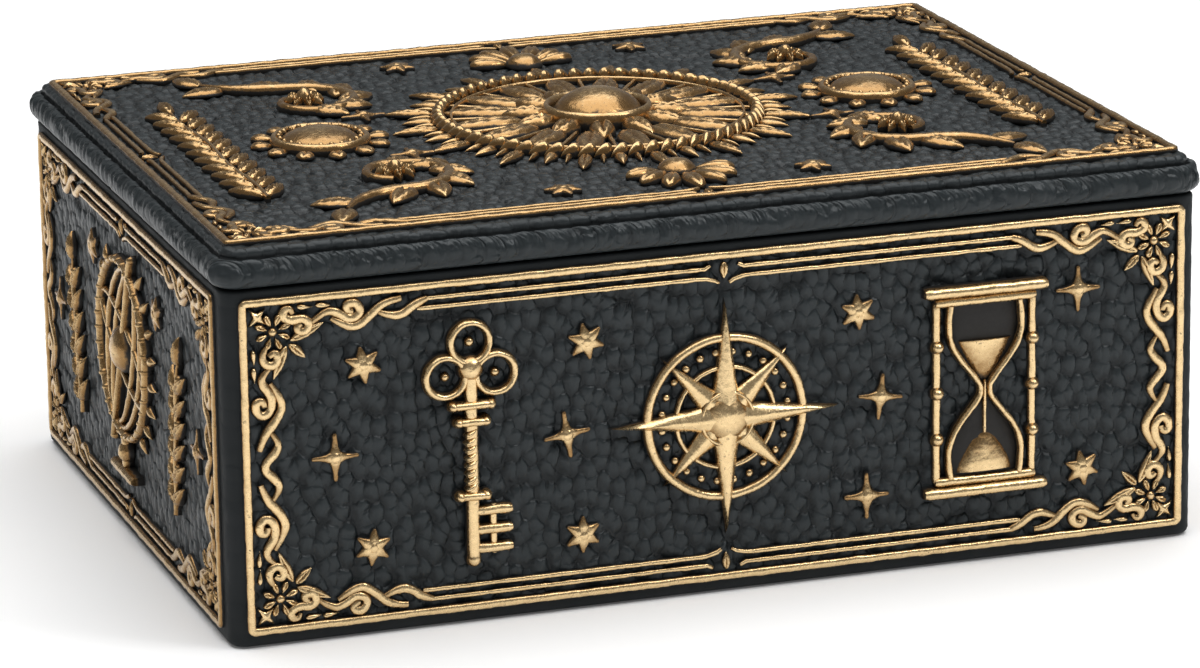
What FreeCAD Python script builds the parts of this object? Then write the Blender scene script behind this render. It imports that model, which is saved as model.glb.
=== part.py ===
import FreeCAD, Part
import math
import os
import Sketcher
from FreeCAD import Placement, Rotation, Vector

# Trinket box: a leather-grained base casting with a lift-off lid, and gilt relief ornament
# seated on every face. Millimetres, +Z up, origin on the table under the middle of the box,
# front face towards -Y.

doc = FreeCAD.newDocument("trinket_box")

# Driving dimensions
SIZES = {
    # base casting
    "base_width": 170.0,
    "base_depth": 127.0,
    "base_height": 60.2,
    "base_corner": 3.0,
    "base_edge": 1.0,
    "wall_thickness": 7.0,
    "floor_level": 6.2,
    "tray_corner": 4.0,
    "rest_gap": 0.2,
    # felt pad under the base and felt lining on the floor of the tray
    "felt_height": 1.0,
    "felt_margin": 6.0,
    "lining_height": 0.8,
    "lining_margin": 0.3,
    # lid casting
    "lid_gap": 0.3,
    "lid_overhang": 1.5,
    "lid_height": 6.4,
    "lid_corner": 5.0,
    "lid_top_round": 3.2,
    "lid_foot_round": 2.2,
    "lip_height": 5.0,
    "lip_width": 4.0,
    "lip_clearance": 0.8,
    "lip_root": 0.2,
    # border frames
    "frame_relief": 0.9,
    "frame_line": 1.6,
    "inner_line": 0.9,
    "inner_gap": 0.85,
    "frame_round": 1.6,
    "wall_frame_margin": 2.5,
    "end_frame_margin": 4.7,
    "frame_foot": 2.2,
    "frame_head": 1.3,
    "lid_frame_width": 166.6,
    "lid_frame_depth": 119.6,
    "corner_reach": 24.0,
    "bud_gap": 3.0,
    "strand_inset": 3.0,
    "strand_start": 15.5,
    "curl_line": 0.8,
    # motifs
    "low_relief": 1.2,
    "mid_relief": 1.8,
    "high_relief": 2.4,
    "collar_relief": 2.9,
    "star_relief": 1.3,
    "star_radius": 3.3,
    "sparkle_radius": 4.0,
    "compass_radius": 20.5,
    "compass_ring": 13.6,
    "compass_dome": 4.3,
    "dome_relief": 3.2,
    "cabochon_radius": 7.0,
    "cabochon_relief": 2.9,
    "rosette_ring": 28.0,
    "rosette_dome": 8.0,
    "rosette_dome_relief": 5.4,
    "scroll_dome": 3.0,
    "scroll_radius": 10.0,
    "wreath_radius": 16.5,
    "globe_radius": 15.5,
}

sheet = doc.addObject("Spreadsheet::Sheet", "dims")
for row, (alias, value) in enumerate(SIZES.items(), start=1):
    sheet.set(f"A{row}", alias)
    sheet.set(f"B{row}", str(value))
    sheet.setAlias(f"B{row}", alias)
doc.recompute()


def size(alias):
    """One driving dimension, read back from the sheet."""
    return float(sheet.get(alias))


# Half sizes and levels that several pieces share
HALF_WIDTH = size("base_width") / 2
HALF_DEPTH = size("base_depth") / 2
LID_FOOT = size("base_height") + size("lid_gap")
LID_TOP = LID_FOOT + size("lid_height")
FRAME_LOW = size("frame_foot")
FRAME_HIGH = size("base_height") - size("frame_head")
FACE_MIDDLE = (FRAME_LOW + FRAME_HIGH) / 2
FRONT_HALF = HALF_WIDTH - size("wall_frame_margin")
END_HALF = HALF_DEPTH - size("end_frame_margin")

# An edge or level within this counts as true, and shorter upright edges aren't rounded
TOLERANCE = 1e-4
SHORTEST_UPRIGHT = 0.5
# Half the side of a rectangle before its own sizes pull it into place
START_HALF = 9.0

# Each face has its own frame: u to the right and v up as seen from outside, relief outwards
UPRIGHT = Rotation(Vector(1, 0, 0), 90)
FACES = {
    "front": Placement(Vector(0, -HALF_DEPTH, 0), UPRIGHT),
    "back": Placement(Vector(0, HALF_DEPTH, 0), Rotation(Vector(0, 0, 1), 180) * UPRIGHT),
    "left": Placement(Vector(-HALF_WIDTH, 0, 0), Rotation(Vector(0, 0, 1), -90) * UPRIGHT),
    "right": Placement(Vector(HALF_WIDTH, 0, 0), Rotation(Vector(0, 0, 1), 90) * UPRIGHT),
    "lid": Placement(Vector(0, 0, LID_TOP), Rotation()),
}


# Bodies, sketches and features
def new_body(label, place=None):
    """An empty body under its own label, placed on a face if one is given."""
    body = doc.addObject("PartDesign::Body", label)
    body.Label = label
    if place is not None:
        body.Placement = place
    return body


def ground_plane(body):
    """The XY plane of a body's own origin."""
    return next(f for f in body.Origin.OriginFeatures if f.Role == "XY_Plane")


def new_sketch(body, name, level=None):
    """A sketch on the body's XY plane, raised to the level that an expression gives."""
    sketch = body.newObject("Sketcher::SketchObject", name)
    sketch.AttachmentSupport = [(ground_plane(body), "")]
    sketch.MapMode = "FlatFace"
    if level is not None:
        sketch.setExpression("AttachmentOffset.Base.z", level)
    return sketch


def add_rectangle(sketch, width, depth):
    """A rectangle centred on the origin whose width and depth follow expressions."""
    first = sketch.GeometryCount
    signs = ((-1, -1), (1, -1), (1, 1), (-1, 1))
    corners = [Vector(su * START_HALF, sv * START_HALF, 0) for su, sv in signs]
    for index in range(4):
        sketch.addGeometry(Part.LineSegment(corners[index], corners[(index + 1) % 4]))
    for index in range(4):
        here = first + index
        following = first + (index + 1) % 4
        sketch.addConstraint(Sketcher.Constraint("Coincident", here, 2, following, 1))
        direction = "Horizontal" if index % 2 == 0 else "Vertical"
        sketch.addConstraint(Sketcher.Constraint(direction, here))
    sketch.addConstraint(Sketcher.Constraint("Symmetric", first, 1, first + 1, 2, -1, 1))
    spans = [("DistanceX", first, width), ("DistanceY", first + 1, depth)]
    for kind, line, expression in spans:
        index = sketch.addConstraint(Sketcher.Constraint(kind, line, 1, line, 2, 2 * START_HALF))
        sketch.setExpression(f"Constraints[{index}]", expression)


def pad(body, sketch, height, name):
    """Raises a sketch by the height that an expression gives."""
    feature = body.newObject("PartDesign::Pad", name)
    feature.Profile = sketch
    feature.setExpression("Length", height)
    feature.Refine = False
    body.Tip = feature
    return feature


def pocket(body, sketch, depth, name, upwards):
    """Sinks a sketch into the solid by the depth that an expression gives."""
    doc.recompute()
    before = body.Shape.Volume
    feature = body.newObject("PartDesign::Pocket", name)
    feature.Profile = sketch
    feature.Reversed = upwards
    feature.setExpression("Length", depth)
    body.Tip = feature
    doc.recompute()
    if not body.Shape.Volume < before - 1:
        raise RuntimeError(f"{name} cuts nothing")
    return feature


def fillet(body, base, wanted, radius, name):
    """Rounds the edges of a feature that pass a test, by a radius from the sheet."""
    doc.recompute()
    edges = [
        f"Edge{index}"
        for index, edge in enumerate(base.Shape.Edges, start=1)
        if wanted(edge)
    ]
    feature = body.newObject("PartDesign::Fillet", name)
    feature.Base = (base, edges)
    feature.setExpression("Radius", radius)
    body.Tip = feature
    doc.recompute()
    return feature


def is_upright(edge):
    """True for a straight edge along Z."""
    box = edge.BoundBox
    return max(box.XLength, box.YLength) < TOLERANCE and box.ZLength > SHORTEST_UPRIGHT


def is_upright_at(half):
    """A test for upright edges at one distance to the left or right of the middle."""
    return lambda edge: is_upright(edge) and abs(abs(edge.BoundBox.XMin) - half) < TOLERANCE


def is_level_at(level):
    """A test for edges that lie flat at one height."""
    return lambda edge: (
        abs(edge.BoundBox.ZMin - level) < TOLERANCE and edge.BoundBox.ZLength < TOLERANCE
    )


# The two castings and their felts
def make_base_shell():
    """Walls and floor in one casting, with a shallow seat for the felt underneath."""
    body = new_body("base_shell")
    outside = new_sketch(body, "base_outline", "dims.rest_gap")
    add_rectangle(outside, "dims.base_width", "dims.base_depth")
    block = pad(body, outside, "dims.base_height - dims.rest_gap", "base_block")
    block = fillet(body, block, is_upright, "dims.base_corner", "base_corners")
    block = fillet(body, block, is_level_at(size("rest_gap")), "dims.base_edge", "base_foot_edge")
    tray = new_sketch(body, "tray_outline", "dims.base_height")
    add_rectangle(
        tray,
        "dims.base_width - 2 * dims.wall_thickness",
        "dims.base_depth - 2 * dims.wall_thickness",
    )
    hollow = pocket(body, tray, "dims.base_height - dims.floor_level", "tray_hollow", False)
    inner_half = HALF_WIDTH - size("wall_thickness")
    fillet(body, hollow, is_upright_at(inner_half), "dims.tray_corner", "tray_corners")
    seat = new_sketch(body, "felt_seat", "dims.rest_gap")
    add_rectangle(
        seat,
        "dims.base_width - 2 * dims.felt_margin",
        "dims.base_depth - 2 * dims.felt_margin",
    )
    pocket(body, seat, "dims.felt_height - dims.rest_gap", "felt_seat_pocket", True)
    return body


def make_felt(label, width, depth, height, level, corner):
    """A flat felt sheet cut to a rectangle, its corners rounded where the seat is."""
    body = new_body(label)
    outline = new_sketch(body, f"{label}_outline", level)
    add_rectangle(outline, width, depth)
    cut = pad(body, outline, height, f"{label}_sheet")
    if corner is not None:
        fillet(body, cut, is_upright, corner, f"{label}_corners")
    return body


def make_lid_shell():
    """Lid casting: a slab with a rolled rim, and the lip that locates it in the walls."""
    body = new_body("lid_shell")
    outside = new_sketch(body, "lid_outline", "dims.base_height + dims.lid_gap")
    add_rectangle(
        outside,
        "dims.base_width + 2 * dims.lid_overhang",
        "dims.base_depth + 2 * dims.lid_overhang",
    )
    slab = pad(body, outside, "dims.lid_height", "lid_slab")
    slab = fillet(body, slab, is_upright, "dims.lid_corner", "lid_corners")
    slab = fillet(body, slab, is_level_at(LID_TOP), "dims.lid_top_round", "lid_rolled_top")
    fillet(body, slab, is_level_at(LID_FOOT), "dims.lid_foot_round", "lid_rolled_foot")
    inset = "2 * (dims.wall_thickness + dims.lip_clearance)"
    lip = new_sketch(body, "lip_outline", "dims.base_height + dims.lid_gap - dims.lip_height")
    add_rectangle(lip, f"dims.base_width - {inset}", f"dims.base_depth - {inset}")
    ring = "2 * (dims.wall_thickness + dims.lip_clearance + dims.lip_width)"
    add_rectangle(lip, f"dims.base_width - {ring}", f"dims.base_depth - {ring}")
    raised = pad(body, lip, "dims.lip_height + dims.lip_root", "lid_lip")
    outer_half = HALF_WIDTH - size("wall_thickness") - size("lip_clearance")
    lip_bend = "dims.tray_corner - dims.lip_clearance"
    fillet(body, raised, is_upright_at(outer_half), lip_bend, "lip_corners")
    return body


# Outlines: a loop is a list of edges, and an edge is two points, or three for an arc.
# A circle is a loop with one edge, its centre and its radius.
def spot(u, v):
    """A point of a face's own frame."""
    return Vector(u, v, 0)


def heading(origin, angle, length):
    """The point at a distance from another, along an angle in degrees."""
    turn = math.radians(angle)
    return origin + Vector(length * math.cos(turn), length * math.sin(turn), 0)


def disc(u, v, radius):
    """A full circle."""
    return [[(spot(u, v), radius)]]


def ring(u, v, radius, width):
    """Two circles with a band between them."""
    return disc(u, v, radius + width / 2) + disc(u, v, radius - width / 2)


def polygon(points):
    """A closed loop of straight edges."""
    return [[(points[i], points[(i + 1) % len(points)]) for i in range(len(points))]]


def bar(start, end, width):
    """A straight bar between two points."""
    along = (end - start).normalize()
    side = Vector(-along.y, along.x, 0) * (width / 2)
    return polygon([start + side, start - side, end - side, end + side])


def star(u, v, points, outer, inner, turn=90.0):
    """A star with its first point towards the given angle."""
    centre = spot(u, v)
    step = 180.0 / points
    radii = (outer, inner)
    return polygon([heading(centre, turn + step * i, radii[i % 2]) for i in range(2 * points)])


def leaf(base, angle, length, width):
    """A pointed leaf between two arcs, from its base towards an angle."""
    tip = heading(base, angle, length)
    middle = (base + tip) * 0.5
    side = heading(spot(0, 0), angle + 90, width / 2)
    return [[(base, middle + side, tip), (tip, middle - side, base)]]


def arc_band(centre, radius, width, start, sweep):
    """A curved bar of steady width about a centre."""
    outer = tuple(heading(centre, start + sweep * part, radius + width / 2) for part in (0, 0.5, 1))
    inner = tuple(heading(centre, start + sweep * part, radius - width / 2) for part in (1, 0.5, 0))
    return [[outer, (outer[2], inner[0]), inner, (inner[2], outer[0])]]


def wave(u, low, high, count, swing, width, first):
    """An upright strand that swings from side to side in equal arcs."""
    pitch = (high - low) / count
    lean = 2 * math.atan2(2 * swing, pitch)
    sides = [first if index % 2 == 0 else -first for index in range(count + 1)]
    right, left = [], []
    for index, side in enumerate(sides):
        across = Vector(math.cos(side * lean), -math.sin(side * lean), 0) * (width / 2)
        node = spot(u, low + index * pitch)
        right.append(node + across)
        left.append(node - across)
    up, down = [], []
    for index, side in enumerate(sides[:-1]):
        crest = spot(u + side * swing, low + (index + 0.5) * pitch)
        half = spot(width / 2, 0)
        up.append((right[index], crest + half, right[index + 1]))
        down.append((left[index + 1], crest - half, left[index]))
    return [up + [(right[-1], left[-1])] + down[::-1] + [(left[0], right[0])]]


def moved(loops, u=0.0, v=0.0, turn=0.0, mirror=1, flip=1, swap=False):
    """Loops copied to another place, first mirrored, then turned, then moved."""
    spin = Rotation(Vector(0, 0, 1), turn)

    def carry(point):
        if not isinstance(point, Vector):
            return point
        start = Vector(point.y, point.x, 0) if swap else point
        return spin.multVec(Vector(start.x * mirror, start.y * flip, 0)) + spot(u, v)

    return [[tuple(carry(p) for p in edge) for edge in loop] for loop in loops]


def draw(sketch, loops):
    """Puts loops into a sketch."""
    geometry = []
    for loop in loops:
        for edge in loop:
            if not isinstance(edge[1], Vector):
                geometry.append(Part.Circle(edge[0], Vector(0, 0, 1), edge[1]))
            elif len(edge) == 2:
                geometry.append(Part.LineSegment(*edge))
            else:
                geometry.append(Part.Arc(*edge))
    sketch.addGeometry(geometry)


def add_layer(body, loops, height):
    """Raises loops from the face by a height from the sheet."""
    name = f"{body.Label}_layer_{len(body.Group)}"
    sketch = new_sketch(body, name)
    draw(sketch, loops)
    return pad(body, sketch, height, f"{name}_pad")


def add_dome(body, u, v, radius, relief):
    """A spherical cap on the face, its radius and its rise both taken from the sheet."""
    cap = body.newObject("PartDesign::AdditiveSphere", f"{body.Label}_dome_{len(body.Group)}")
    cap.AttachmentSupport = [(ground_plane(body), "")]
    cap.MapMode = "FlatFace"
    ball = f"({radius} * {radius} + {relief} * {relief}) / (2 * {relief})"
    cap.setExpression("Radius", ball)
    cap.setExpression("Angle1", f"asin(({ball} - {relief}) / ({ball}))")
    cap.AttachmentOffset = Placement(Vector(u, v, 0), Rotation())
    cap.setExpression("AttachmentOffset.Base.z", f"{relief} - {ball}")
    cap.Refine = False
    body.Tip = cap
    return cap


# Border frames
def rounded_rectangle(half_u, low, high, radius):
    """A rectangle with rounded corners."""
    slack = radius * (1 - math.sqrt(0.5))
    corners = []
    for su, sv in ((1, 1), (-1, 1), (-1, -1), (1, -1)):
        v = high if sv > 0 else low
        before = spot(su * half_u, v - sv * radius)
        middle = spot(su * (half_u - slack), v - sv * slack)
        after = spot(su * (half_u - radius), v)
        corners.append((before, middle, after) if su * sv > 0 else (after, middle, before))
    loop = []
    for index, corner in enumerate(corners):
        loop.append(corner)
        loop.append((corner[2], corners[(index + 1) % 4][0]))
    return [loop]


def at_corners(loops, half_u, low, high, swap=False):
    """Loops drawn inwards from one corner, copied to all four corners of a frame."""
    whole = []
    for mirror in (1, -1):
        for flip, v in ((1, low), (-1, high)):
            whole += moved(loops, -mirror * half_u, v, 0.0, mirror, flip, swap)
    return whole


# Corner filigree, drawn inwards from the corner of the frame. A curl has its centre, radius,
# start and sweep; a leaf has its base, angle, length and width.
CORNER_CURLS = [
    (spot(3.9, 10.2), 1.15, 60.0, 250.0),
    (spot(6.9, 13.2), 1.35, -60.0, 240.0),
]
CORNER_LEAVES = [
    (spot(9.6, 10.6), 52.0, 5.6, 2.0),
    (spot(10.4, 8.9), -8.0, 6.2, 1.7),
    (spot(2.3, 13.4), 70.0, 2.6, 1.0),
]


def corner_flowers():
    """A four-pointed flower in the angle of the frame and an eight-petalled daisy inside it."""
    flower_place, flower_reach, flower_waist = 4.0, 1.7, 0.7
    daisy_centre, daisy_eye = spot(7.2, 7.2), 0.9
    petal_length, petal_width, petals = 2.5, 1.25, 8
    loops = star(flower_place, flower_place, 4, flower_reach, flower_waist, 45.0)
    for index in range(petals):
        angle = (index + 0.5) * 360 / petals
        loops += leaf(heading(daisy_centre, angle, daisy_eye), angle, petal_length, petal_width)
    return loops


def corner_curls():
    """Open curls, one above the other, between the daisy and the side of the frame."""
    line = size("curl_line")
    loops = []
    for centre, radius, start, sweep in CORNER_CURLS:
        loops += arc_band(centre, radius, line, start, sweep)
    return loops


def corner_leaves():
    """The leaf that points inwards from the corner, a lower one, and a small one by the line."""
    loops = []
    for base, angle, length, width in CORNER_LEAVES:
        loops += leaf(base, angle, length, width)
    return loops


def inner_lines(half_u, low, high, along_sides):
    """Two thin lines inside the frame, broken for the corners and for a bud at the middle."""
    line, thin = size("frame_line"), size("inner_line")
    step = size("inner_gap") + thin
    reach, bud_gap, stagger = size("corner_reach"), size("bud_gap"), 3.0
    loops = []
    for order in (1, 2):
        drop = line + order * step - thin / 2
        begin = reach + stagger * (order - 1)
        close = bud_gap + order
        for side in (-1, 1):
            for v in (low + drop, high - drop):
                loops += bar(spot(side * (half_u - begin), v), spot(side * close, v), thin)
            if along_sides:
                u = side * (half_u - drop)
                for half in (-1, 1):
                    loops += bar(spot(u, half * (high - begin)), spot(u, half * close), thin)
    bud_length, bud_width, bud_lift = 2.6, 1.4, 0.6
    for v, angle in ((low + line + bud_lift, 90.0), (high - line - bud_lift, -90.0)):
        loops += leaf(spot(0, v), angle, bud_length, bud_width)
    return loops


def strands(half_u, low, high, up_sides, first):
    """One of two crossing strands: along the top and foot from each corner, and up the sides."""
    thin, swing = size("inner_line"), 1.5
    centre = size("frame_line") + size("strand_inset")
    start, waves_up, waves_along, overlap = size("strand_start"), 4, 2, 1.0
    trail = wave(centre, start, size("corner_reach") + overlap, waves_along, swing, thin, first)
    loops = at_corners(trail, half_u, low, high, swap=True)
    if up_sides:
        for side in (-1, 1):
            u = side * (half_u - centre)
            loops += wave(u, low + start, high - start, waves_up, swing, thin, first * side)
    else:
        loops += at_corners(trail, half_u, low, high)
    return loops


def make_border(label, face, half_u, low, high, up_sides):
    """A border frame: its outer line, corner filigree, inner lines and crossing strands."""
    body = new_body(label, FACES[face])
    line, bend = size("frame_line"), size("frame_round")
    outer = rounded_rectangle(half_u, low, high, bend)
    inner = rounded_rectangle(half_u - line, low + line, high - line, bend / 2)
    layers = [
        outer + inner,
        inner_lines(half_u, low, high, not up_sides),
        at_corners(corner_flowers() + corner_curls(), half_u, low, high),
        at_corners(corner_leaves(), half_u, low, high),
        at_corners(corner_curls(), half_u, low, high, swap=True),
        strands(half_u, low, high, up_sides, 1),
        strands(half_u, low, high, up_sides, -1),
    ]
    for loops in layers:
        add_layer(body, loops, "dims.frame_relief")
    return body


# Motifs
def make_compass(label, face, u, v):
    """Compass rose: eight points over two rings, with a domed boss."""
    body = new_body(label, FACES[face])
    reach, hoop = size("compass_radius"), size("compass_ring")
    hoop_width, inner_hoop, inner_width = 1.8, hoop - 5.0, 1.1
    short_reach, waist = hoop + 2.2, 3.6
    rings = ring(u, v, hoop, hoop_width) + ring(u, v, inner_hoop, inner_width)
    add_layer(body, rings, "dims.low_relief")
    add_layer(body, star(u, v, 4, short_reach, waist, 45.0), "dims.mid_relief")
    add_layer(body, star(u, v, 4, reach, waist, 90.0), "dims.high_relief")
    add_dome(body, u, v, "dims.compass_dome", "dims.dome_relief")
    return body


def make_key(label, face, u, v):
    """Key with a trefoil bow, a collared shank and a notched bit."""
    body = new_body(label, FACES[face])
    bow, lobe, lobe_offset, lobe_line = v + 12.5, 3.3, 4.4, 1.6
    lobe_angles = (90.0, 195.0, -15.0)
    shank_foot, shank_line = v - 20.0, 2.4
    collar_line, collars = 1.7, ((6.4, 3.2), (3.6, 2.3), (-9.0, 2.2))
    tooth_start, tooth_end, tooth_line, teeth = 0.4, 6.6, 2.0, (1.8, 5.0, 8.2)
    web_low, web_high, web_line = 0.8, 9.2, 1.5
    for angle in lobe_angles:
        centre = heading(spot(u, bow), angle, lobe_offset)
        add_layer(body, ring(centre.x, centre.y, lobe, lobe_line), "dims.mid_relief")
    add_layer(body, disc(u, bow, shank_line), "dims.high_relief")
    add_layer(body, bar(spot(u, bow), spot(u, shank_foot), shank_line), "dims.mid_relief")
    bands = []
    for rise, half in collars:
        bands += bar(spot(u - half, v + rise), spot(u + half, v + rise), collar_line)
    add_layer(body, bands, "dims.high_relief")
    bit = []
    for rise in teeth:
        level = shank_foot + rise
        bit += bar(spot(u + tooth_start, level), spot(u + tooth_end, level), tooth_line)
    add_layer(body, bit, "dims.mid_relief")
    web = u + (tooth_start + tooth_end) / 2
    join = bar(spot(web, shank_foot + web_low), spot(web, shank_foot + web_high), web_line)
    add_layer(body, join, "dims.low_relief")
    return body


def glass_flank(u, v, side):
    """One side of an hourglass's bulbs, from the foot up to the top."""
    neck, waist, swell, swell_level, shoulder, half_glass = 1.0, 1.2, 6.3, 7.6, 6.4, 15.0

    def at(half, rise):
        return spot(u + side * half, v + rise)

    lower = (at(shoulder, -half_glass), at(swell, -swell_level), at(neck, -waist))
    throat = (at(neck, -waist), at(neck, waist))
    upper = (at(neck, waist), at(swell, swell_level), at(shoulder, half_glass))
    return [lower, throat, upper]


def make_hourglass(label, face, u, v):
    """Hourglass between two plates, with a knopped post at each side."""
    body = new_body(label, FACES[face])
    plate_level, plate_half, plate_line = 17.4, 11.0, 2.2
    cap_level, cap_half, cap_line = 15.6, 9.0, 1.8
    post, post_line, knop, knop_levels = 8.6, 1.5, 1.35, (-8.0, 0.0, 8.0)
    right = glass_flank(u, v, 1)
    left = [tuple(reversed(edge)) for edge in reversed(glass_flank(u, v, -1))]
    top, foot = (right[-1][-1], left[0][0]), (left[-1][-1], right[0][0])
    add_layer(body, [right + [top] + left + [foot]], "dims.mid_relief")

    def level_bar(half, rise, line):
        return bar(spot(u - half, v + rise), spot(u + half, v + rise), line)

    plates, caps, posts, knops = [], [], [], []
    for side in (1, -1):
        plates += level_bar(plate_half, side * plate_level, plate_line)
        caps += level_bar(cap_half, side * cap_level, cap_line)
        centre = u + side * post
        posts += bar(spot(centre, v - cap_level), spot(centre, v + cap_level), post_line)
        for rise in knop_levels:
            knops += disc(centre, v + rise, knop)
    add_layer(body, plates, "dims.high_relief")
    add_layer(body, caps, "dims.mid_relief")
    add_layer(body, posts, "dims.low_relief")
    add_layer(body, knops, "dims.high_relief")
    return body


def make_armillary(label, face, u, v):
    """Armillary sphere: crossing hoops about a small globe, on a turned foot."""
    body = new_body(label, FACES[face])
    reach, hoop_width, lean = size("globe_radius"), 1.6, 66.0
    hoops = ((lean, 12.0), (lean, 21.0), (lean - 90, 9.0))
    overhang, axis_line = 3.6, 1.1
    stem_height, stem_line, knop = 5.6, 2.6, 2.2
    plate_half, plate_line, plate_drop = 7.0, 1.9, 0.7
    centre = spot(u, v)
    add_layer(body, ring(u, v, reach, hoop_width), "dims.mid_relief")
    for turn, breadth in hoops:
        outer_base = heading(centre, turn + 180, reach)
        inner_base = heading(centre, turn + 180, reach - hoop_width)
        hoop = leaf(outer_base, turn, 2 * reach, breadth + hoop_width)
        hoop += leaf(inner_base, turn, 2 * (reach - hoop_width), breadth - hoop_width)
        add_layer(body, hoop, "dims.low_relief")
    axis_ends = [heading(centre, lean + turn, reach + overhang) for turn in (0, 180)]
    add_layer(body, bar(*axis_ends, axis_line), "dims.mid_relief")
    foot = v - reach
    add_layer(body, bar(spot(u, foot), spot(u, foot - stem_height), stem_line), "dims.mid_relief")
    plate = foot - stem_height - plate_drop
    stand = bar(spot(u - plate_half, plate), spot(u + plate_half, plate), plate_line)
    add_layer(body, stand, "dims.high_relief")
    add_layer(body, disc(u, foot - stem_height / 2, knop), "dims.high_relief")
    add_dome(body, u, v, "dims.compass_dome", "dims.dome_relief")
    return body


def make_sprigs(label, face, places, height, pairs, leaf_length, leaf_width):
    """Upright laurel sprigs: a stem with paired leaves and one at the tip, each tilted."""
    body = new_body(label, FACES[face])
    stem_line, first_level, spread, tip_root, leaf_root = 0.9, 2.0, 38.0, 1.0, 0.2
    stem = bar(spot(0, 0), spot(0, height), stem_line)
    tip = leaf(spot(0, height - tip_root), 90, leaf_length, leaf_width)
    right, left = [], []
    for index in range(pairs):
        level = first_level + (height - 2 * first_level) * index / pairs
        right += leaf(spot(leaf_root, level), 90 - spread, leaf_length, leaf_width)
        left += leaf(spot(-leaf_root, level), 90 + spread, leaf_length, leaf_width)
    layers = ((stem, "dims.low_relief"), (right + tip, "dims.mid_relief"), (left, "dims.mid_relief"))
    for loops, relief in layers:
        whole = []
        for u, v, turn in places:
            whole += moved(loops, u, v, turn)
        add_layer(body, whole, relief)
    return body


def make_wreath(label, face, u, v):
    """Laurel wreath about an eight-pointed star with a small boss."""
    body = new_body(label, FACES[face])
    radius, stem_line = size("wreath_radius"), 1.0
    leaf_length, leaf_width, lean, leaves_a_side = 5.4, 2.4, 28.0, 9
    start_angle, step_angle, rows = 14.0, 17.6, ((lean, 0.5), (-lean, -0.5))
    short_gap, long_gap, waist = 6.0, 3.6, 2.6
    centre = spot(u, v)
    add_layer(body, ring(u, v, radius, stem_line), "dims.low_relief")
    for tilt, inset in rows:
        leaves = []
        for side in (1, -1):
            for index in range(leaves_a_side):
                angle = -90 + side * (start_angle + step_angle * index)
                base = heading(centre, angle, radius - inset)
                leaves += leaf(base, angle + side * (90 - tilt), leaf_length, leaf_width)
        add_layer(body, leaves, "dims.mid_relief")
    add_layer(body, star(u, v, 4, radius - short_gap, waist, 45.0), "dims.mid_relief")
    add_layer(body, star(u, v, 4, radius - long_gap, waist, 90.0), "dims.high_relief")
    add_dome(body, u, v, "dims.scroll_dome", "dims.dome_relief")
    return body


def make_cabochons(label, face, centres):
    """Domed cabochons, each in a plain collar with a ring of petals."""
    body = new_body(label, FACES[face])
    radius, collar, petals = size("cabochon_radius"), 1.8, 12
    petal_length, petal_width = 4.4, 3.5
    fans, collars = [], []
    for u, v in centres:
        for index in range(petals):
            angle = index * 360 / petals
            base = heading(spot(u, v), angle, radius + collar / 2)
            fans += leaf(base, angle, petal_length, petal_width)
        collars += ring(u, v, radius + collar / 2, collar)
    add_layer(body, fans, "dims.low_relief")
    add_layer(body, collars, "dims.mid_relief")
    for u, v in centres:
        add_dome(body, u, v, "dims.cabochon_radius", "dims.cabochon_relief")
    return body


def leaf_ring(u, v, start, angles, length, width):
    """Leaves set round a centre at one distance from it, pointing outwards."""
    loops = []
    for angle in angles:
        loops += leaf(heading(spot(u, v), angle, start), angle, length, width)
    return loops


def make_rosette(label, face, u, v):
    """Central rosette: rays round a roped ring, two tiers of petals and a domed boss."""
    body = new_body(label, FACES[face])
    hoop, boss, rope, collar = size("rosette_ring"), size("rosette_dome"), 2.6, 1.8
    rays, ray_start, long_ray, short_ray, ray_width = 16, hoop + 0.6, 8.5, 5.5, 2.6
    outer_petals, outer_start, outer_width = 16, boss + 5.4, 5.2
    inner_petals, inner_start, inner_length, inner_width = 12, boss + 0.5, 8.6, 4.6
    long_angles = [index * 360 / rays for index in range(rays)]
    short_angles = [(index + 0.5) * 360 / rays for index in range(rays)]
    outer_angles = [index * 360 / outer_petals for index in range(outer_petals)]
    inner_angles = [(index + 0.5) * 360 / inner_petals for index in range(inner_petals)]
    fringe = leaf_ring(u, v, ray_start, long_angles, long_ray, ray_width)
    fringe += leaf_ring(u, v, ray_start, short_angles, short_ray, ray_width)
    outer = leaf_ring(u, v, outer_start, outer_angles, hoop - outer_start, outer_width)
    inner = leaf_ring(u, v, inner_start, inner_angles, inner_length, inner_width)
    add_layer(body, fringe, "dims.low_relief")
    add_layer(body, ring(u, v, hoop, rope), "dims.high_relief")
    add_layer(body, outer, "dims.mid_relief")
    add_layer(body, inner, "dims.high_relief")
    add_layer(body, ring(u, v, boss + collar / 2, collar), "dims.collar_relief")
    add_dome(body, u, v, "dims.rosette_dome", "dims.rosette_dome_relief")
    return body


def volute(radius, width):
    """A spiral of four quarter turns, each smaller than the last, and the eye's centre."""
    shrink, overlap, quarters = 0.76, 5.0, 4
    bands, centre, angle = [], spot(0, 0), 90.0
    for _ in range(quarters):
        bands.append(arc_band(centre, radius, width, angle, 90.0 + overlap))
        angle += 90.0
        centre = heading(centre, angle, radius * (1 - shrink))
        radius *= shrink
    return bands, centre


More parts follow.
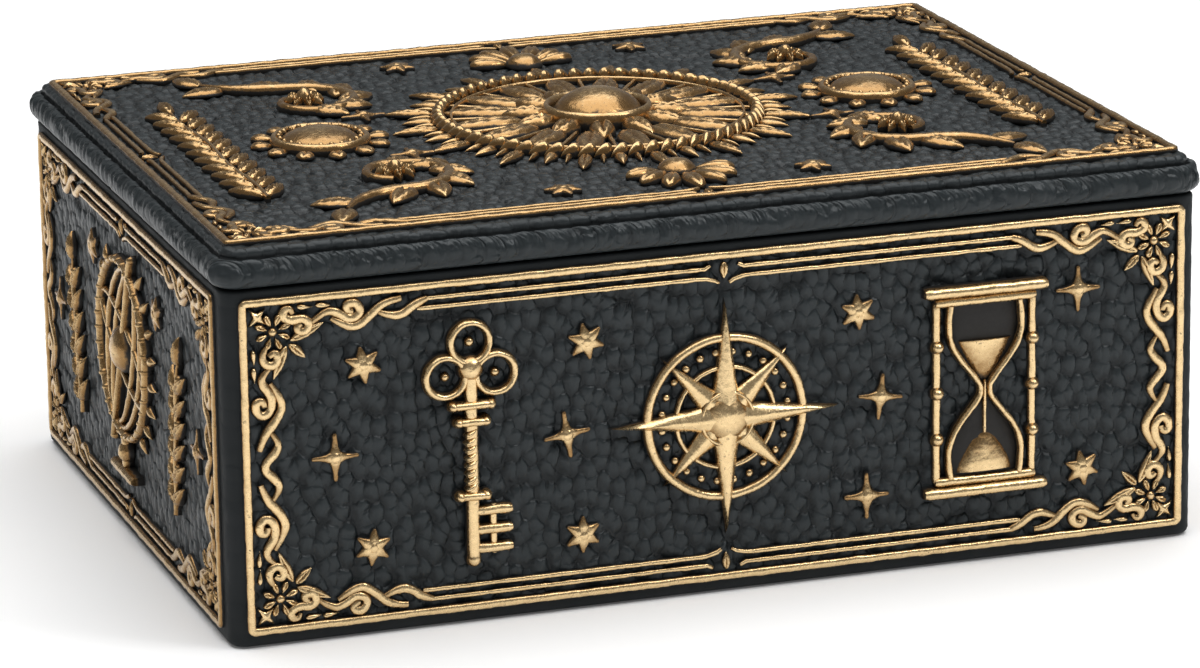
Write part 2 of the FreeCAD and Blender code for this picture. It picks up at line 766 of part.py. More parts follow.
def make_scrolls(label, face, quarters):
    """Leafy scrolls, each a volute with leaves on its back and a boss in its eye."""
    body = new_body(label, FACES[face])
    reach, band, tail_bend, tail_sweep = size("scroll_radius"), 2.4, 14.0, 66.0
    back_leaves, first_angle, leaf_step, back_lean = 6, 96.0, 33.0, 42.0
    leaf_length, leaf_width, shorter, closer = 8.2, 4.2, 0.4, 0.55
    tip_length, side_length, side_back, side_angle = 7.6, 8.0, 22.0, -10.0
    bands, eye = volute(reach, band)
    tail_centre = spot(0, reach + tail_bend)
    tail = arc_band(tail_centre, tail_bend, band, -90.0, tail_sweep)
    back = []
    for index in range(back_leaves):
        angle = first_angle + leaf_step * index
        base = heading(spot(0, 0), angle, reach - closer * index)
        back += leaf(base, angle - back_lean, leaf_length - shorter * index, leaf_width)
    tail_end = tail_sweep - 90
    tips = leaf(heading(tail_centre, tail_end, tail_bend), tail_sweep, tip_length, leaf_width)
    side_base = heading(tail_centre, tail_end - side_back, tail_bend)
    tips += leaf(side_base, side_angle, side_length, leaf_width)
    layers = [(loops, "dims.mid_relief") for loops in bands + [tail]]
    layers += [(back, "dims.low_relief"), (tips, "dims.low_relief")]
    for loops, relief in layers:
        whole = []
        for u, v, mirror, flip in quarters:
            whole += moved(loops, u, v, 0.0, mirror, flip)
        add_layer(body, whole, relief)
    for u, v, mirror, flip in quarters:
        add_dome(body, u + eye.x * mirror, v + eye.y * flip, "dims.scroll_dome", "dims.dome_relief")
    return body


def make_palmettes(label, face, places):
    """Palmettes: a fan of seven leaves from a small boss."""
    body = new_body(label, FACES[face])
    leaves, spread, longest, taper, leaf_width = 7, 26.0, 9.5, 0.8, 3.6
    root, root_cover = 3.4, 0.4
    fans, roots = [], []
    for u, v, turn in places:
        for index in range(leaves):
            off_centre = index - leaves // 2
            angle = turn + off_centre * spread
            base = heading(spot(u, v), angle, root - root_cover)
            fans += leaf(base, angle, longest - taper * abs(off_centre), leaf_width)
        roots += disc(u, v, root)
    add_layer(body, fans, "dims.mid_relief")
    add_layer(body, roots, "dims.high_relief")
    return body


def make_stars(label, face, stars, sparkles):
    """Small stars: six-pointed ones, and slim four-pointed sparkles, each with its turn."""
    body = new_body(label, FACES[face])
    star_reach, sparkle_reach = size("star_radius"), size("sparkle_radius")
    loops = []
    for u, v, turn in stars:
        loops += star(u, v, 6, star_reach, star_reach / 2, 90.0 + turn)
    for u, v, turn in sparkles:
        loops += star(u, v, 4, sparkle_reach, sparkle_reach / 4, 90.0 + turn)
    add_layer(body, loops, "dims.star_relief")
    return body


# Where the small stars lie on each face: u, v and a turn in degrees
STARS = {
    "front": [(-62, 46, 8), (-61, 15, -6), (-24, 46, 12), (-25, 13, 0), (23.5, 46, 5), (64, 14.5, 10)],
    "back": [(-62, 16, 8), (-25, 46, -6), (25, 14, 12), (61, 45, 0)],
    "left": [(-21, 47, 6), (22, 46, -8)],
    "right": [(-23, 47, 6), (23, 14, -8)],
    "lid": [(-22, 47, 6), (22, 47, -8), (-22, -47, 10), (22, -47, 0)],
}
SPARKLES = {
    "front": [(-67, 31, 0), (-27.5, 30.5, 8), (25, 14, 0), (27.5, 31, -6), (63, 46, 0)],
    "back": [(-61, 45, 0), (-25, 15, 8), (25, 46, 0), (62, 16, -6)],
    "left": [(-46.5, 31, 0), (46.5, 29, 0)],
    "right": [(-46.5, 29, 0), (46.5, 31, 0)],
    "lid": [(-38, 14.5, 0), (38, 14.5, 0), (-38, -14.5, 0), (38, -14.5, 0)],
}


# The box, piece by piece
def make_castings():
    """The base and lid castings and the two felts."""
    felt_width = "dims.base_width - 2 * dims.felt_margin"
    felt_depth = "dims.base_depth - 2 * dims.felt_margin"
    inset = "2 * (dims.wall_thickness + dims.lining_margin)"
    lining_width, lining_depth = f"dims.base_width - {inset}", f"dims.base_depth - {inset}"
    lining_bend = "dims.tray_corner - dims.lining_margin"
    felt = make_felt("underside_felt", felt_width, felt_depth, "dims.felt_height", "0", None)
    lining = make_felt(
        "tray_lining", lining_width, lining_depth, "dims.lining_height", "dims.floor_level", lining_bend
    )
    return [make_base_shell(), felt, lining, make_lid_shell()]


def make_walls():
    """The borders, small stars and motifs of the four walls."""
    key_place, hourglass_place, cabochon_place = -44.0, 46.0, 46.0
    key_rise, armillary_rise = 0.6, 3.6
    sprig_place, sprig_foot, sprig_tilt, sprig_height = 32.0, 14.0, 8.0, 28.0
    sprig_pairs, leaf_length, leaf_width = 6, 5.2, 2.4
    sprigs = [(-sprig_place, sprig_foot, sprig_tilt), (sprig_place, sprig_foot, -sprig_tilt)]
    sprig_sizes = (sprig_height, sprig_pairs, leaf_length, leaf_width)
    halves = {"front": FRONT_HALF, "back": FRONT_HALF, "left": END_HALF, "right": END_HALF}
    pieces = []
    for face, half_u in halves.items():
        pieces.append(make_border(f"{face}_border", face, half_u, FRAME_LOW, FRAME_HIGH, True))
        pieces.append(make_stars(f"{face}_stars", face, STARS[face], SPARKLES[face]))
    cabochons = [(-cabochon_place, FACE_MIDDLE), (cabochon_place, FACE_MIDDLE)]
    pieces += [
        make_compass("front_compass", "front", 0.0, FACE_MIDDLE),
        make_key("front_key", "front", key_place, FACE_MIDDLE + key_rise),
        make_hourglass("front_hourglass", "front", hourglass_place, FACE_MIDDLE),
        make_wreath("back_wreath", "back", 0.0, FACE_MIDDLE),
        make_cabochons("back_cabochons", "back", cabochons),
        make_armillary("left_armillary", "left", 0.0, FACE_MIDDLE + armillary_rise),
        make_sprigs("left_sprigs", "left", sprigs, *sprig_sizes),
        make_wreath("right_wreath", "right", 0.0, FACE_MIDDLE),
        make_sprigs("right_sprigs", "right", sprigs, *sprig_sizes),
    ]
    return pieces


def make_lid_ornament():
    """The border, small stars and motifs of the lid's top."""
    half_u, half_v = size("lid_frame_width") / 2, size("lid_frame_depth") / 2
    cabochon_u, scroll_u, scroll_v, palmette_v = 50.0, 46.0, 28.0, 41.0
    garland_u, garland_foot, garland_height, garland_pairs = 69.0, -35.0, 64.0, 11
    leaf_length, leaf_width = 7.8, 3.8
    scrolls = [(-s * scroll_u, t * scroll_v, s, t) for s in (1, -1) for t in (1, -1)]
    palmettes = [(0.0, palmette_v, 90.0), (0.0, -palmette_v, -90.0)]
    garlands = [(-garland_u, garland_foot, 0.0), (garland_u, garland_foot, 0.0)]
    garland_sizes = (garland_height, garland_pairs, leaf_length, leaf_width)
    return [
        make_border("lid_border", "lid", half_u, -half_v, half_v, False),
        make_rosette("lid_rosette", "lid", 0.0, 0.0),
        make_cabochons("lid_cabochons", "lid", [(-cabochon_u, 0.0), (cabochon_u, 0.0)]),
        make_scrolls("lid_scrolls", "lid", scrolls),
        make_palmettes("lid_palmettes", "lid", palmettes),
        make_sprigs("lid_garlands", "lid", garlands, *garland_sizes),
        make_stars("lid_stars", "lid", STARS["lid"], SPARKLES["lid"]),
    ]


parts = make_castings() + make_walls() + make_lid_ornament()
doc.recompute()

# Every object must have come out whole before anything is written
for item in doc.Objects:
    faults = [state for state in item.State if state in ("Invalid", "Error")]
    if faults:
        raise RuntimeError(f"{item.Label}: {faults}")
for body in parts:
    if body.Shape.isNull() or not body.Shape.isValid():
        raise RuntimeError(f"{body.Label} has no valid shape")

os.makedirs("parts", exist_ok=True)
for body in parts:
    body.Shape.exportStep(os.path.join("parts", f"{body.Label}.step"))
    bounds = body.Shape.BoundBox
    solids = len(body.Shape.Solids)
    volume = body.Shape.Volume
    print(f"{body.Label}: {solids} solids, {volume:.0f} mm3, z {bounds.ZMin:.2f} to {bounds.ZMax:.2f}")
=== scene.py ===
"""Looks for a trinket box: leather-grained castings, gilt relief and felts round the packed frame.

Lengths are millimetres while a piece is modelled, and become metres when it is put in its place.
"""

from __future__ import annotations

import logging
import math
from dataclasses import astuple, dataclass
from enum import Enum
from typing import Callable, Sequence

import bmesh
import bpy
import numpy as np
from mathutils import Matrix, Vector


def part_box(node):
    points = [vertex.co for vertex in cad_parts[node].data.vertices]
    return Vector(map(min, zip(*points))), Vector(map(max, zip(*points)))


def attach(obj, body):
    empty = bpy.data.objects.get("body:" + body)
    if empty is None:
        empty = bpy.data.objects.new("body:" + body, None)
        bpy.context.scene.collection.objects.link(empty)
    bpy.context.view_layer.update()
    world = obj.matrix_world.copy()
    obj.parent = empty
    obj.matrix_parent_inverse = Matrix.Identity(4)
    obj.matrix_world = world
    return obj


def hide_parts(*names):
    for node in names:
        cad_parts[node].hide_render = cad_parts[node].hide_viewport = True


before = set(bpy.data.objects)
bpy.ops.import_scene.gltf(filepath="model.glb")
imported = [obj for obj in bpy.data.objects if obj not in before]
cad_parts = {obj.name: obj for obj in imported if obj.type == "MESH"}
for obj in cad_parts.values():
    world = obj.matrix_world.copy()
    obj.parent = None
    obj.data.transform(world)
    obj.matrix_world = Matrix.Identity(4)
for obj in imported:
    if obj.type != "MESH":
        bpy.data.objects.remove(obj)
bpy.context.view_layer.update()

log = logging.getLogger("trinket_box")

MM = 0.001
TINY = 1e-6
ARC_STEP = 15.0
Point = tuple[float, float]
Ends = tuple[float, float]


def box_mm(node: str) -> tuple[Vector, Vector]:
    """A CAD node's lowest and highest corners, in millimetres."""
    low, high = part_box(node)
    return low / MM, high / MM


BASE_LOW, BASE_HIGH = box_mm("base_shell")
LID_LOW, LID_HIGH = box_mm("lid_shell")


class Face(Enum):
    """The faces that carry relief: u to the right and v up as seen from outside, w outwards."""

    FRONT = "front"
    BACK = "back"
    LEFT = "left"
    RIGHT = "right"
    LID = "lid"

    @property
    def body(self) -> str:
        """The CAD body that the face belongs to."""
        return "lid" if self is Face.LID else "base"

    @property
    def place(self) -> Matrix:
        """From millimetres on the face to metres in the row's frame."""
        if self is Face.LID:
            return Matrix.Scale(MM, 4) @ Matrix.Translation((0, 0, LID_HIGH.z))
        spots = {
            Face.FRONT: (0, -BASE_HIGH.y, 0),
            Face.BACK: (0, BASE_HIGH.y, 180),
            Face.LEFT: (-BASE_HIGH.x, 0, -90),
            Face.RIGHT: (BASE_HIGH.x, 0, 90),
        }
        x, y, angle = spots[self]
        turn = Matrix.Rotation(math.radians(angle), 4, "Z") @ Matrix.Rotation(math.radians(90), 4, "X")
        return Matrix.Scale(MM, 4) @ Matrix.Translation((x, y, 0)) @ turn


def face_bounds(node: str, face: Face) -> tuple[float, float, float]:
    """A border's half width, foot and head on its face.

    Args:
        node: the CAD node of the border.
        face: the face that it lies on.

    Returns:
        Half the span along u, and the lowest and highest v, in millimetres.
    """
    low, high = box_mm(node)
    if face is Face.LID:
        return high.x, low.y, high.y
    half = high.y if face in (Face.LEFT, Face.RIGHT) else high.x
    return half, low.z, high.z


class Bench:
    """Blender's operators, used on one object at a time."""

    @staticmethod
    def clear() -> None:
        """Deselects everything."""
        bpy.ops.object.select_all(action="DESELECT")

    @staticmethod
    def pick(piece: bpy.types.Object) -> None:
        """Selects one object alone and makes it active.

        Args:
            piece: the object.
        """
        Bench.clear()
        piece.select_set(True)
        bpy.context.view_layer.objects.active = piece

    @staticmethod
    def added(label: str) -> bpy.types.Object:
        """Names the primitive that was just added, with its place put into its mesh.

        Args:
            label: its name.

        Returns:
            The primitive.
        """
        piece = bpy.context.object
        piece.name = piece.data.name = label
        bpy.ops.object.transform_apply(location=True, rotation=True, scale=True)
        return piece

    @staticmethod
    def copied(piece: bpy.types.Object, place: Matrix) -> bpy.types.Object:
        """Copies an object, mesh and all.

        Args:
            piece: the object.
            place: the matrix that moves the copy's mesh.

        Returns:
            The copy.
        """
        twin = piece.copy()
        twin.data = piece.data.copy()
        twin.data.transform(place)
        bpy.context.scene.collection.objects.link(twin)
        return twin

    @staticmethod
    def joined(parts: Sequence[bpy.types.Object], label: str) -> bpy.types.Object:
        """Joins parts into one object.

        Args:
            parts: the objects, which are used up.
            label: the name of the whole.

        Returns:
            The joined object.
        """
        Bench.pick(parts[0])
        for part in parts[1:]:
            part.select_set(True)
        if len(parts) > 1:
            bpy.ops.object.join()
        whole = bpy.context.object
        whole.name = whole.data.name = label
        return whole

    @staticmethod
    def modify(piece: bpy.types.Object, kind: str, **settings: object) -> None:
        """Adds a modifier and applies it.

        Args:
            piece: the object.
            kind: the modifier's type.
            settings: its properties, set in their order.
        """
        Bench.pick(piece)
        modifier = piece.modifiers.new(kind.lower(), kind)
        for name, value in settings.items():
            setattr(modifier, name, value)
        bpy.ops.object.modifier_apply(modifier=modifier.name)

    @staticmethod
    def points(piece: bpy.types.Object) -> np.ndarray:
        """Reads the vertices of a mesh.

        Args:
            piece: the object.

        Returns:
            An array with a row for each vertex.
        """
        flat = np.empty(len(piece.data.vertices) * 3)
        piece.data.vertices.foreach_get("co", flat)
        return flat.reshape(-1, 3)

    @staticmethod
    def reshape(piece: bpy.types.Object, points: np.ndarray) -> None:
        """Moves the vertices of a mesh to new places."""
        piece.data.vertices.foreach_set("co", points.astype(float).ravel())
        piece.data.update()

    @staticmethod
    def paint(piece: bpy.types.Object, name: str, values: np.ndarray) -> None:
        """Writes one number a vertex as an attribute that materials read.

        Args:
            piece: the object.
            name: the attribute's name.
            values: the numbers, in the order of the vertices.
        """
        known = piece.data.attributes.get(name)
        layer = known or piece.data.attributes.new(name, "FLOAT", "POINT")
        layer.data.foreach_set("value", values.astype(np.float32))


class Wire:
    """A socket that Python's operators act on, each of them adding a Math node."""

    def __init__(self, graph: Graph, socket: bpy.types.NodeSocket) -> None:
        self.graph = graph
        self.socket = socket

    def math(self, operation: str, *others: object) -> Wire:
        """A Math node with this socket first."""
        return self.graph.add("ShaderNodeMath", {"operation": operation}, self, *others)

    def __add__(self, other: object) -> Wire:
        """The sum."""
        return self.math("ADD", other)

    def __sub__(self, other: object) -> Wire:
        """The difference."""
        return self.math("SUBTRACT", other)

    def __rsub__(self, other: object) -> Wire:
        """The difference, the other way round."""
        return self.graph.add("ShaderNodeMath", {"operation": "SUBTRACT"}, other, self)

    def __mul__(self, other: object) -> Wire:
        """The product."""
        return self.math("MULTIPLY", other)

    def __pow__(self, other: object) -> Wire:
        """The power."""
        return self.math("POWER", other)

    __radd__ = __add__
    __rmul__ = __mul__

    def ramp(self, start: float, end: float, low: float = 0.0, high: float = 1.0) -> Wire:
        """A smooth step from low to high as this value goes from start to end."""
        settings = {"interpolation_type": "SMOOTHSTEP"}
        return self.graph.add("ShaderNodeMapRange", settings, self, start, end, low, high)


class Graph:
    """A node tree, to which any node is added by one method."""

    def __init__(self, tree: bpy.types.NodeTree) -> None:
        self.tree = tree

    def add(
        self,
        kind: str,
        settings: dict[str, object],
        *inputs: object,
        pick: int = 0,
        **named: object,
    ) -> Wire:
        """Adds one node.

        Args:
            kind: the node's type.
            settings: properties that are set before anything is linked.
            inputs: values or wires for the node's sockets in their order; None leaves one alone.
            pick: which output the returned wire carries.
            named: values or wires for sockets by name, with underscores for spaces.

        Returns:
            A wire that carries the picked output.
        """
        node = self.tree.nodes.new(kind)
        for name, value in settings.items():
            setattr(node, name, value)
        for index, value in enumerate(inputs):
            self.feed(node.inputs[index], value)
        for name, value in named.items():
            self.feed(node.inputs[name.replace("_", " ")], value)
        return Wire(self, node.outputs[pick] if node.outputs else None)

    def feed(self, socket: bpy.types.NodeSocket, value: object) -> None:
        """Links a wire to a socket, or sets the socket's own value.

        Args:
            socket: the input socket.
            value: a wire or a plain value; None leaves the socket alone.
        """
        if isinstance(value, Wire):
            self.tree.links.new(value.socket, socket)
        elif value is not None:
            socket.default_value = value

    def noise(self, place: Wire, scale: float, detail: float = 2.0, roughness: float = 0.5) -> Wire:
        """Adds a noise.

        Args:
            place: the position that it depends on.
            scale: how fine it is.
            detail: how many finer layers it has.
            roughness: how strong the finer layers are.

        Returns:
            A wire from 0 to 1.
        """
        settings = {"noise_dimensions": "3D"}
        named = {"Vector": place, "Scale": scale, "Detail": detail, "Roughness": roughness}
        return self.add("ShaderNodeTexNoise", settings, **named)

    def attribute(self, name: str) -> Wire:
        """A number that was painted on the mesh."""
        return self.add("ShaderNodeAttribute", {"attribute_name": name}, pick=2)

    def blend(self, factor: Wire, low: object, high: object) -> Wire:
        """Mixes two colours.

        Args:
            factor: how far the mix goes from the first to the second.
            low: the first, a colour or a wire.
            high: the second, a colour or a wire.

        Returns:
            A wire that carries the mix.
        """
        node = self.tree.nodes.new("ShaderNodeMix")
        node.data_type = "RGBA"
        for index, value in ((0, factor), (6, low), (7, high)):
            self.feed(node.inputs[index], value)
        return Wire(self, node.outputs[2])


@dataclass(frozen=True)
class LeatherGrain:
    """The moulded pebbles, the same for the mesh and for its material."""

    pebble: float = 2.2
    upright: float = 0.76
    wander: float = 0.27
    wander_scale: float = 1.2
    scatter: float = 0.95
    crease: float = 0.20
    crease_sunk: float = 0.03
    crown: float = 0.80
    crown_sunk: float = 0.6
    crown_level: float = 0.84
    lip: float = 0.36
    lip_way: tuple[float, float, float] = (0.75, 0.75, 0.0)
    patch_scale: float = 1.15
    patch_ends: Ends = (0.36, 0.62)
    patch_sunk: float = 0.11
    patch_lip: float = 0.2
    depth: float = 0.55

    def height(self, graph: Graph, place: Wire) -> Wire:
        """Builds the relief of the pebbles, which lap over each other a little like scales.

        Args:
            graph: the tree of a material or of a modifier.
            place: a position in the flat pattern, in metres.

        Returns:
            A wire from 0 in the creases to 1 on the crowns.
        """
        scale = 1 / (self.pebble * MM)
        stretch = (scale, scale * self.upright, 0.0)
        cells = graph.add("ShaderNodeVectorMath", {"operation": "MULTIPLY"}, place, stretch)
        named = {"Vector": cells, "Scale": self.wander_scale, "Detail": 2.0}
        drift = graph.add("ShaderNodeTexNoise", {}, pick=1, **named)
        centred = graph.add("ShaderNodeVectorMath", {"operation": "SUBTRACT"}, drift, (0.5, 0.5, 0.5))
        pushed = graph.add("ShaderNodeVectorMath", {"operation": "SCALE"}, centred, Scale=2 * self.wander)
        moved = graph.add("ShaderNodeVectorMath", {"operation": "ADD"}, cells, pushed)
        named = {"Vector": moved, "Scale": 1.0, "Randomness": self.scatter}
        settings = {"voronoi_dimensions": "2D"}
        edge = graph.add("ShaderNodeTexVoronoi", {**settings, "feature": "DISTANCE_TO_EDGE"}, **named)
        middle = graph.add("ShaderNodeTexVoronoi", {**settings, "feature": "F1"}, **named)
        centre = graph.add("ShaderNodeTexVoronoi", {**settings, "feature": "F1"}, pick=2, **named)
        off = graph.add("ShaderNodeVectorMath", {"operation": "SUBTRACT"}, moved, centre)
        lip = graph.add("ShaderNodeVectorMath", {"operation": "DOT_PRODUCT"}, off, self.lip_way, pick=1)
        soft = edge.ramp(0.0, self.crease)
        broken = graph.noise(cells, self.patch_scale, 1.0).ramp(*self.patch_ends)
        crown = ((middle * (1 / self.crown)) ** 2.0).math("MINIMUM", 1.0)
        sunk = (1.0 - soft) * (self.crease_sunk + broken * self.patch_sunk) + crown * self.crown_sunk
        return self.crown_level - sunk + lip * soft * (self.lip + broken * self.patch_lip)


GRAIN = LeatherGrain()


@dataclass(frozen=True)
class Leather:
    """Satin black paint over moulded leather grain."""

    name: str = "leather_black"
    crown: tuple[float, ...] = (0.0205, 0.0256, 0.0278, 1.0)
    # crease: the darker colour painted into the creases of the grain as shade
    crease: tuple[float, ...] = (0.0070, 0.0088, 0.0098, 1.0)
    gleam: tuple[float, ...] = (0.96, 0.99, 1.0, 1.0)
    sheen: float = 0.30
    crown_roughness: float = 0.36
    crease_roughness: float = 0.50
    painted_shade_roughness: float = 0.35
    tone_ends: Ends = (0.25, 0.85)
    gloss_ends: Ends = (0.2, 0.9)
    scuff_scale: float = 90.0
    scuff_ends: Ends = (0.3, 0.7)
    scuff_change: Ends = (-0.05, 0.06)
    fine_scale: float = 900.0
    pore_scale: float = 2600.0
    pebble_bump: float = 0.74
    fine_bump: float = 0.12
    pore_bump: float = 0.018
    gather_scale: tuple[float, float, float] = (480.0, 60.0, 0.0)
    gather_width: float = 0.13
    gather_depth: float = 0.22

    def material(self) -> bpy.types.Material:
        """Mixes the finish.

        Returns:
            The finished material.
        """
        shade, graph, surface = new_material(self.name)
        moulded = graph.add("ShaderNodeAttribute", {"attribute_name": "moulded_at"}, pick=1)
        grain = graph.attribute("grain")
        pebbles = GRAIN.height(graph, moulded)
        height = 1.0 - (1.0 - pebbles) * grain
        scuffs = graph.noise(moulded, self.scuff_scale, 4.0)
        pores = graph.noise(moulded, self.pore_scale, 2.0)
        fine = graph.noise(moulded, self.fine_scale, 3.0)
        # painted shade: this mask darkens the leather towards the crease colour and roughens it where the
        # shells paint it, on the lid's crease and rounded edge and on the base's plain strips
        painted_shade = graph.attribute("painted_shade")
        # painted shade: the colour darkens from the crowns of the pebbles down into their creases, and goes
        # to the crease colour under the painted shade mask
        tone = height.ramp(*self.tone_ends) * (1.0 - painted_shade)
        graph.feed(surface.inputs["Base Color"], graph.blend(tone, self.crease, self.crown))
        gloss = height.ramp(*self.gloss_ends, self.crease_roughness, self.crown_roughness)
        gloss = gloss + painted_shade * self.painted_shade_roughness
        rubbed = scuffs.ramp(*self.scuff_ends, *self.scuff_change)
        graph.feed(surface.inputs["Roughness"], gloss + rubbed)
        surface.inputs["Specular IOR Level"].default_value = self.sheen
        surface.inputs["Specular Tint"].default_value = self.gleam
        gathers = graph.add("ShaderNodeVectorMath", {"operation": "MULTIPLY"}, moulded, self.gather_scale)
        valley = (graph.noise(gathers, 1.0, 1.0) - 0.5).math("ABSOLUTE").ramp(0.0, self.gather_width)
        folds = (valley - 1.0) * graph.attribute("pucker") * self.gather_depth
        relief = height * self.pebble_bump + fine * (1.1 - height) * self.fine_bump
        relief = relief + pores * self.pore_bump + folds
        bump = graph.add("ShaderNodeBump", {}, Strength=1.0, Distance=MM, Height=relief)
        graph.feed(surface.inputs["Normal"], bump)
        return shade


@dataclass(frozen=True)
class Gold:
    """Antique gold paint, rubbed on the raised parts and washed dark in the recesses, with painted shade that
    dims it face by face.
    """

    name: str = "antique_gold"
    wash: tuple[float, ...] = (0.006, 0.0045, 0.003, 1.0)
    deep: tuple[float, ...] = (0.29, 0.168, 0.066, 1.0)
    rubbed: tuple[float, ...] = (0.88, 0.65, 0.35, 1.0)
    coarse_scale: float = 700.0
    fine_scale: float = 2000.0
    bare_shares: Ends = (0.35, 0.22)
    bare_ends: Ends = (0.30, 0.52)
    wear_and_shade_shares: Ends = (0.36, 0.24)
    wear_and_shade_ends: Ends = (0.42, 1.05)
    pits_in_fine: Ends = (0.58, 0.70)
    pits_in_coarse: Ends = (0.42, 0.6)
    pitting: float = 0.5
    metal: float = 0.92
    wash_roughness: float = 0.62
    polish: float = 0.36
    grit: float = 0.2
    coarse_bump: float = 0.10
    fine_bump: float = 0.022

    @staticmethod
    def ragged(value: Wire, coarse: Wire, fine: Wire, shares: Ends) -> Wire:
        """A value made uneven by two noises, each in its share."""
        return value + (coarse - 0.5) * shares[0] + (fine - 0.5) * shares[1]

    def material(self) -> bpy.types.Material:
        """Mixes the finish.

        Returns:
            The finished material.
        """
        shade, graph, surface = new_material(self.name)
        place = graph.add("ShaderNodeTexCoord", {}, pick=3)
        crown = graph.attribute("crown")
        coarse = graph.noise(place, self.coarse_scale, 3.0)
        fine = graph.noise(place, self.fine_scale, 3.0, 0.6)
        cover = self.ragged(crown, coarse, fine, self.bare_shares)
        pits = fine.ramp(*self.pits_in_fine) * coarse.ramp(*self.pits_in_coarse)
        paint = cover.ramp(*self.bare_ends) * (1.0 - pits * self.pitting)
        # the rubbed gold is real wear on the crowns, dimmed face by face as painted shade
        wear_and_face_shade = self.ragged(crown * graph.attribute("painted_face_shade"), coarse, fine, self.wear_and_shade_shares)
        gilt = graph.blend(wear_and_face_shade.ramp(*self.wear_and_shade_ends), self.deep, self.rubbed)
        graph.feed(surface.inputs["Base Color"], graph.blend(paint, self.wash, gilt))
        graph.feed(surface.inputs["Metallic"], paint * self.metal)
        gloss = self.wash_roughness - paint * self.polish + (fine - 0.5) * self.grit
        graph.feed(surface.inputs["Roughness"], gloss)
        relief = coarse * self.coarse_bump + fine * self.fine_bump
        bump = graph.add("ShaderNodeBump", {}, Strength=1.0, Distance=MM, Height=relief)
        graph.feed(surface.inputs["Normal"], bump)
        return shade


@dataclass(frozen=True)
class Felt:
    """Matte black felt with matted fibres."""

    name: str = "felt_black"
    dark: tuple[float, ...] = (0.006, 0.006, 0.007, 1.0)
    lint: tuple[float, ...] = (0.026, 0.026, 0.028, 1.0)
    mat_scale: float = 240.0
    fibre_scale: float = 2200.0
    tone_ends: Ends = (0.35, 0.68)
    roughness: float = 0.88
    fibre_roughness: float = 0.1
    sheen: float = 0.25
    sheen_roughness: float = 0.5
    mat_bump: float = 0.15
    fibre_bump: float = 0.2

    def material(self) -> bpy.types.Material:
        """Mixes the finish.

        Returns:
            The finished material.
        """
        shade, graph, surface = new_material(self.name)
        place = graph.add("ShaderNodeTexCoord", {}, pick=3)
        mats = graph.noise(place, self.mat_scale, 4.0, 0.6)
        fibres = graph.noise(place, self.fibre_scale, 3.0, 0.7)
        tone = (mats * 0.5 + fibres * 0.5).ramp(*self.tone_ends)
        graph.feed(surface.inputs["Base Color"], graph.blend(tone, self.dark, self.lint))
        graph.feed(surface.inputs["Roughness"], self.roughness + fibres * self.fibre_roughness)
        surface.inputs["Sheen Weight"].default_value = self.sheen
        surface.inputs["Sheen Roughness"].default_value = self.sheen_roughness
        relief = mats * self.mat_bump + fibres * self.fibre_bump
        bump = graph.add("ShaderNodeBump", {}, Strength=0.9, Distance=MM, Height=relief)
        graph.feed(surface.inputs["Normal"], bump)
        return shade


def new_material(name: str) -> tuple[bpy.types.Material, Graph, bpy.types.Node]:
    """An empty node material.

    Args:
        name: the material's name.

    Returns:
        The material, its graph and its surface shader.
    """
    shade = bpy.data.materials.new(name)
    shade.use_nodes = True
    return shade, Graph(shade.node_tree), shade.node_tree.nodes["Principled BSDF"]


def dress(piece: bpy.types.Object, shade: bpy.types.Material) -> None:
    """Gives a piece one material."""
    piece.data.materials.clear()
    piece.data.materials.append(shade)


def smooth(piece: bpy.types.Object, angle: float = 60.0) -> None:
    """Smooth shading with creases past an angle."""
    Bench.pick(piece)
    bpy.ops.object.shade_smooth_by_angle(angle=math.radians(angle))


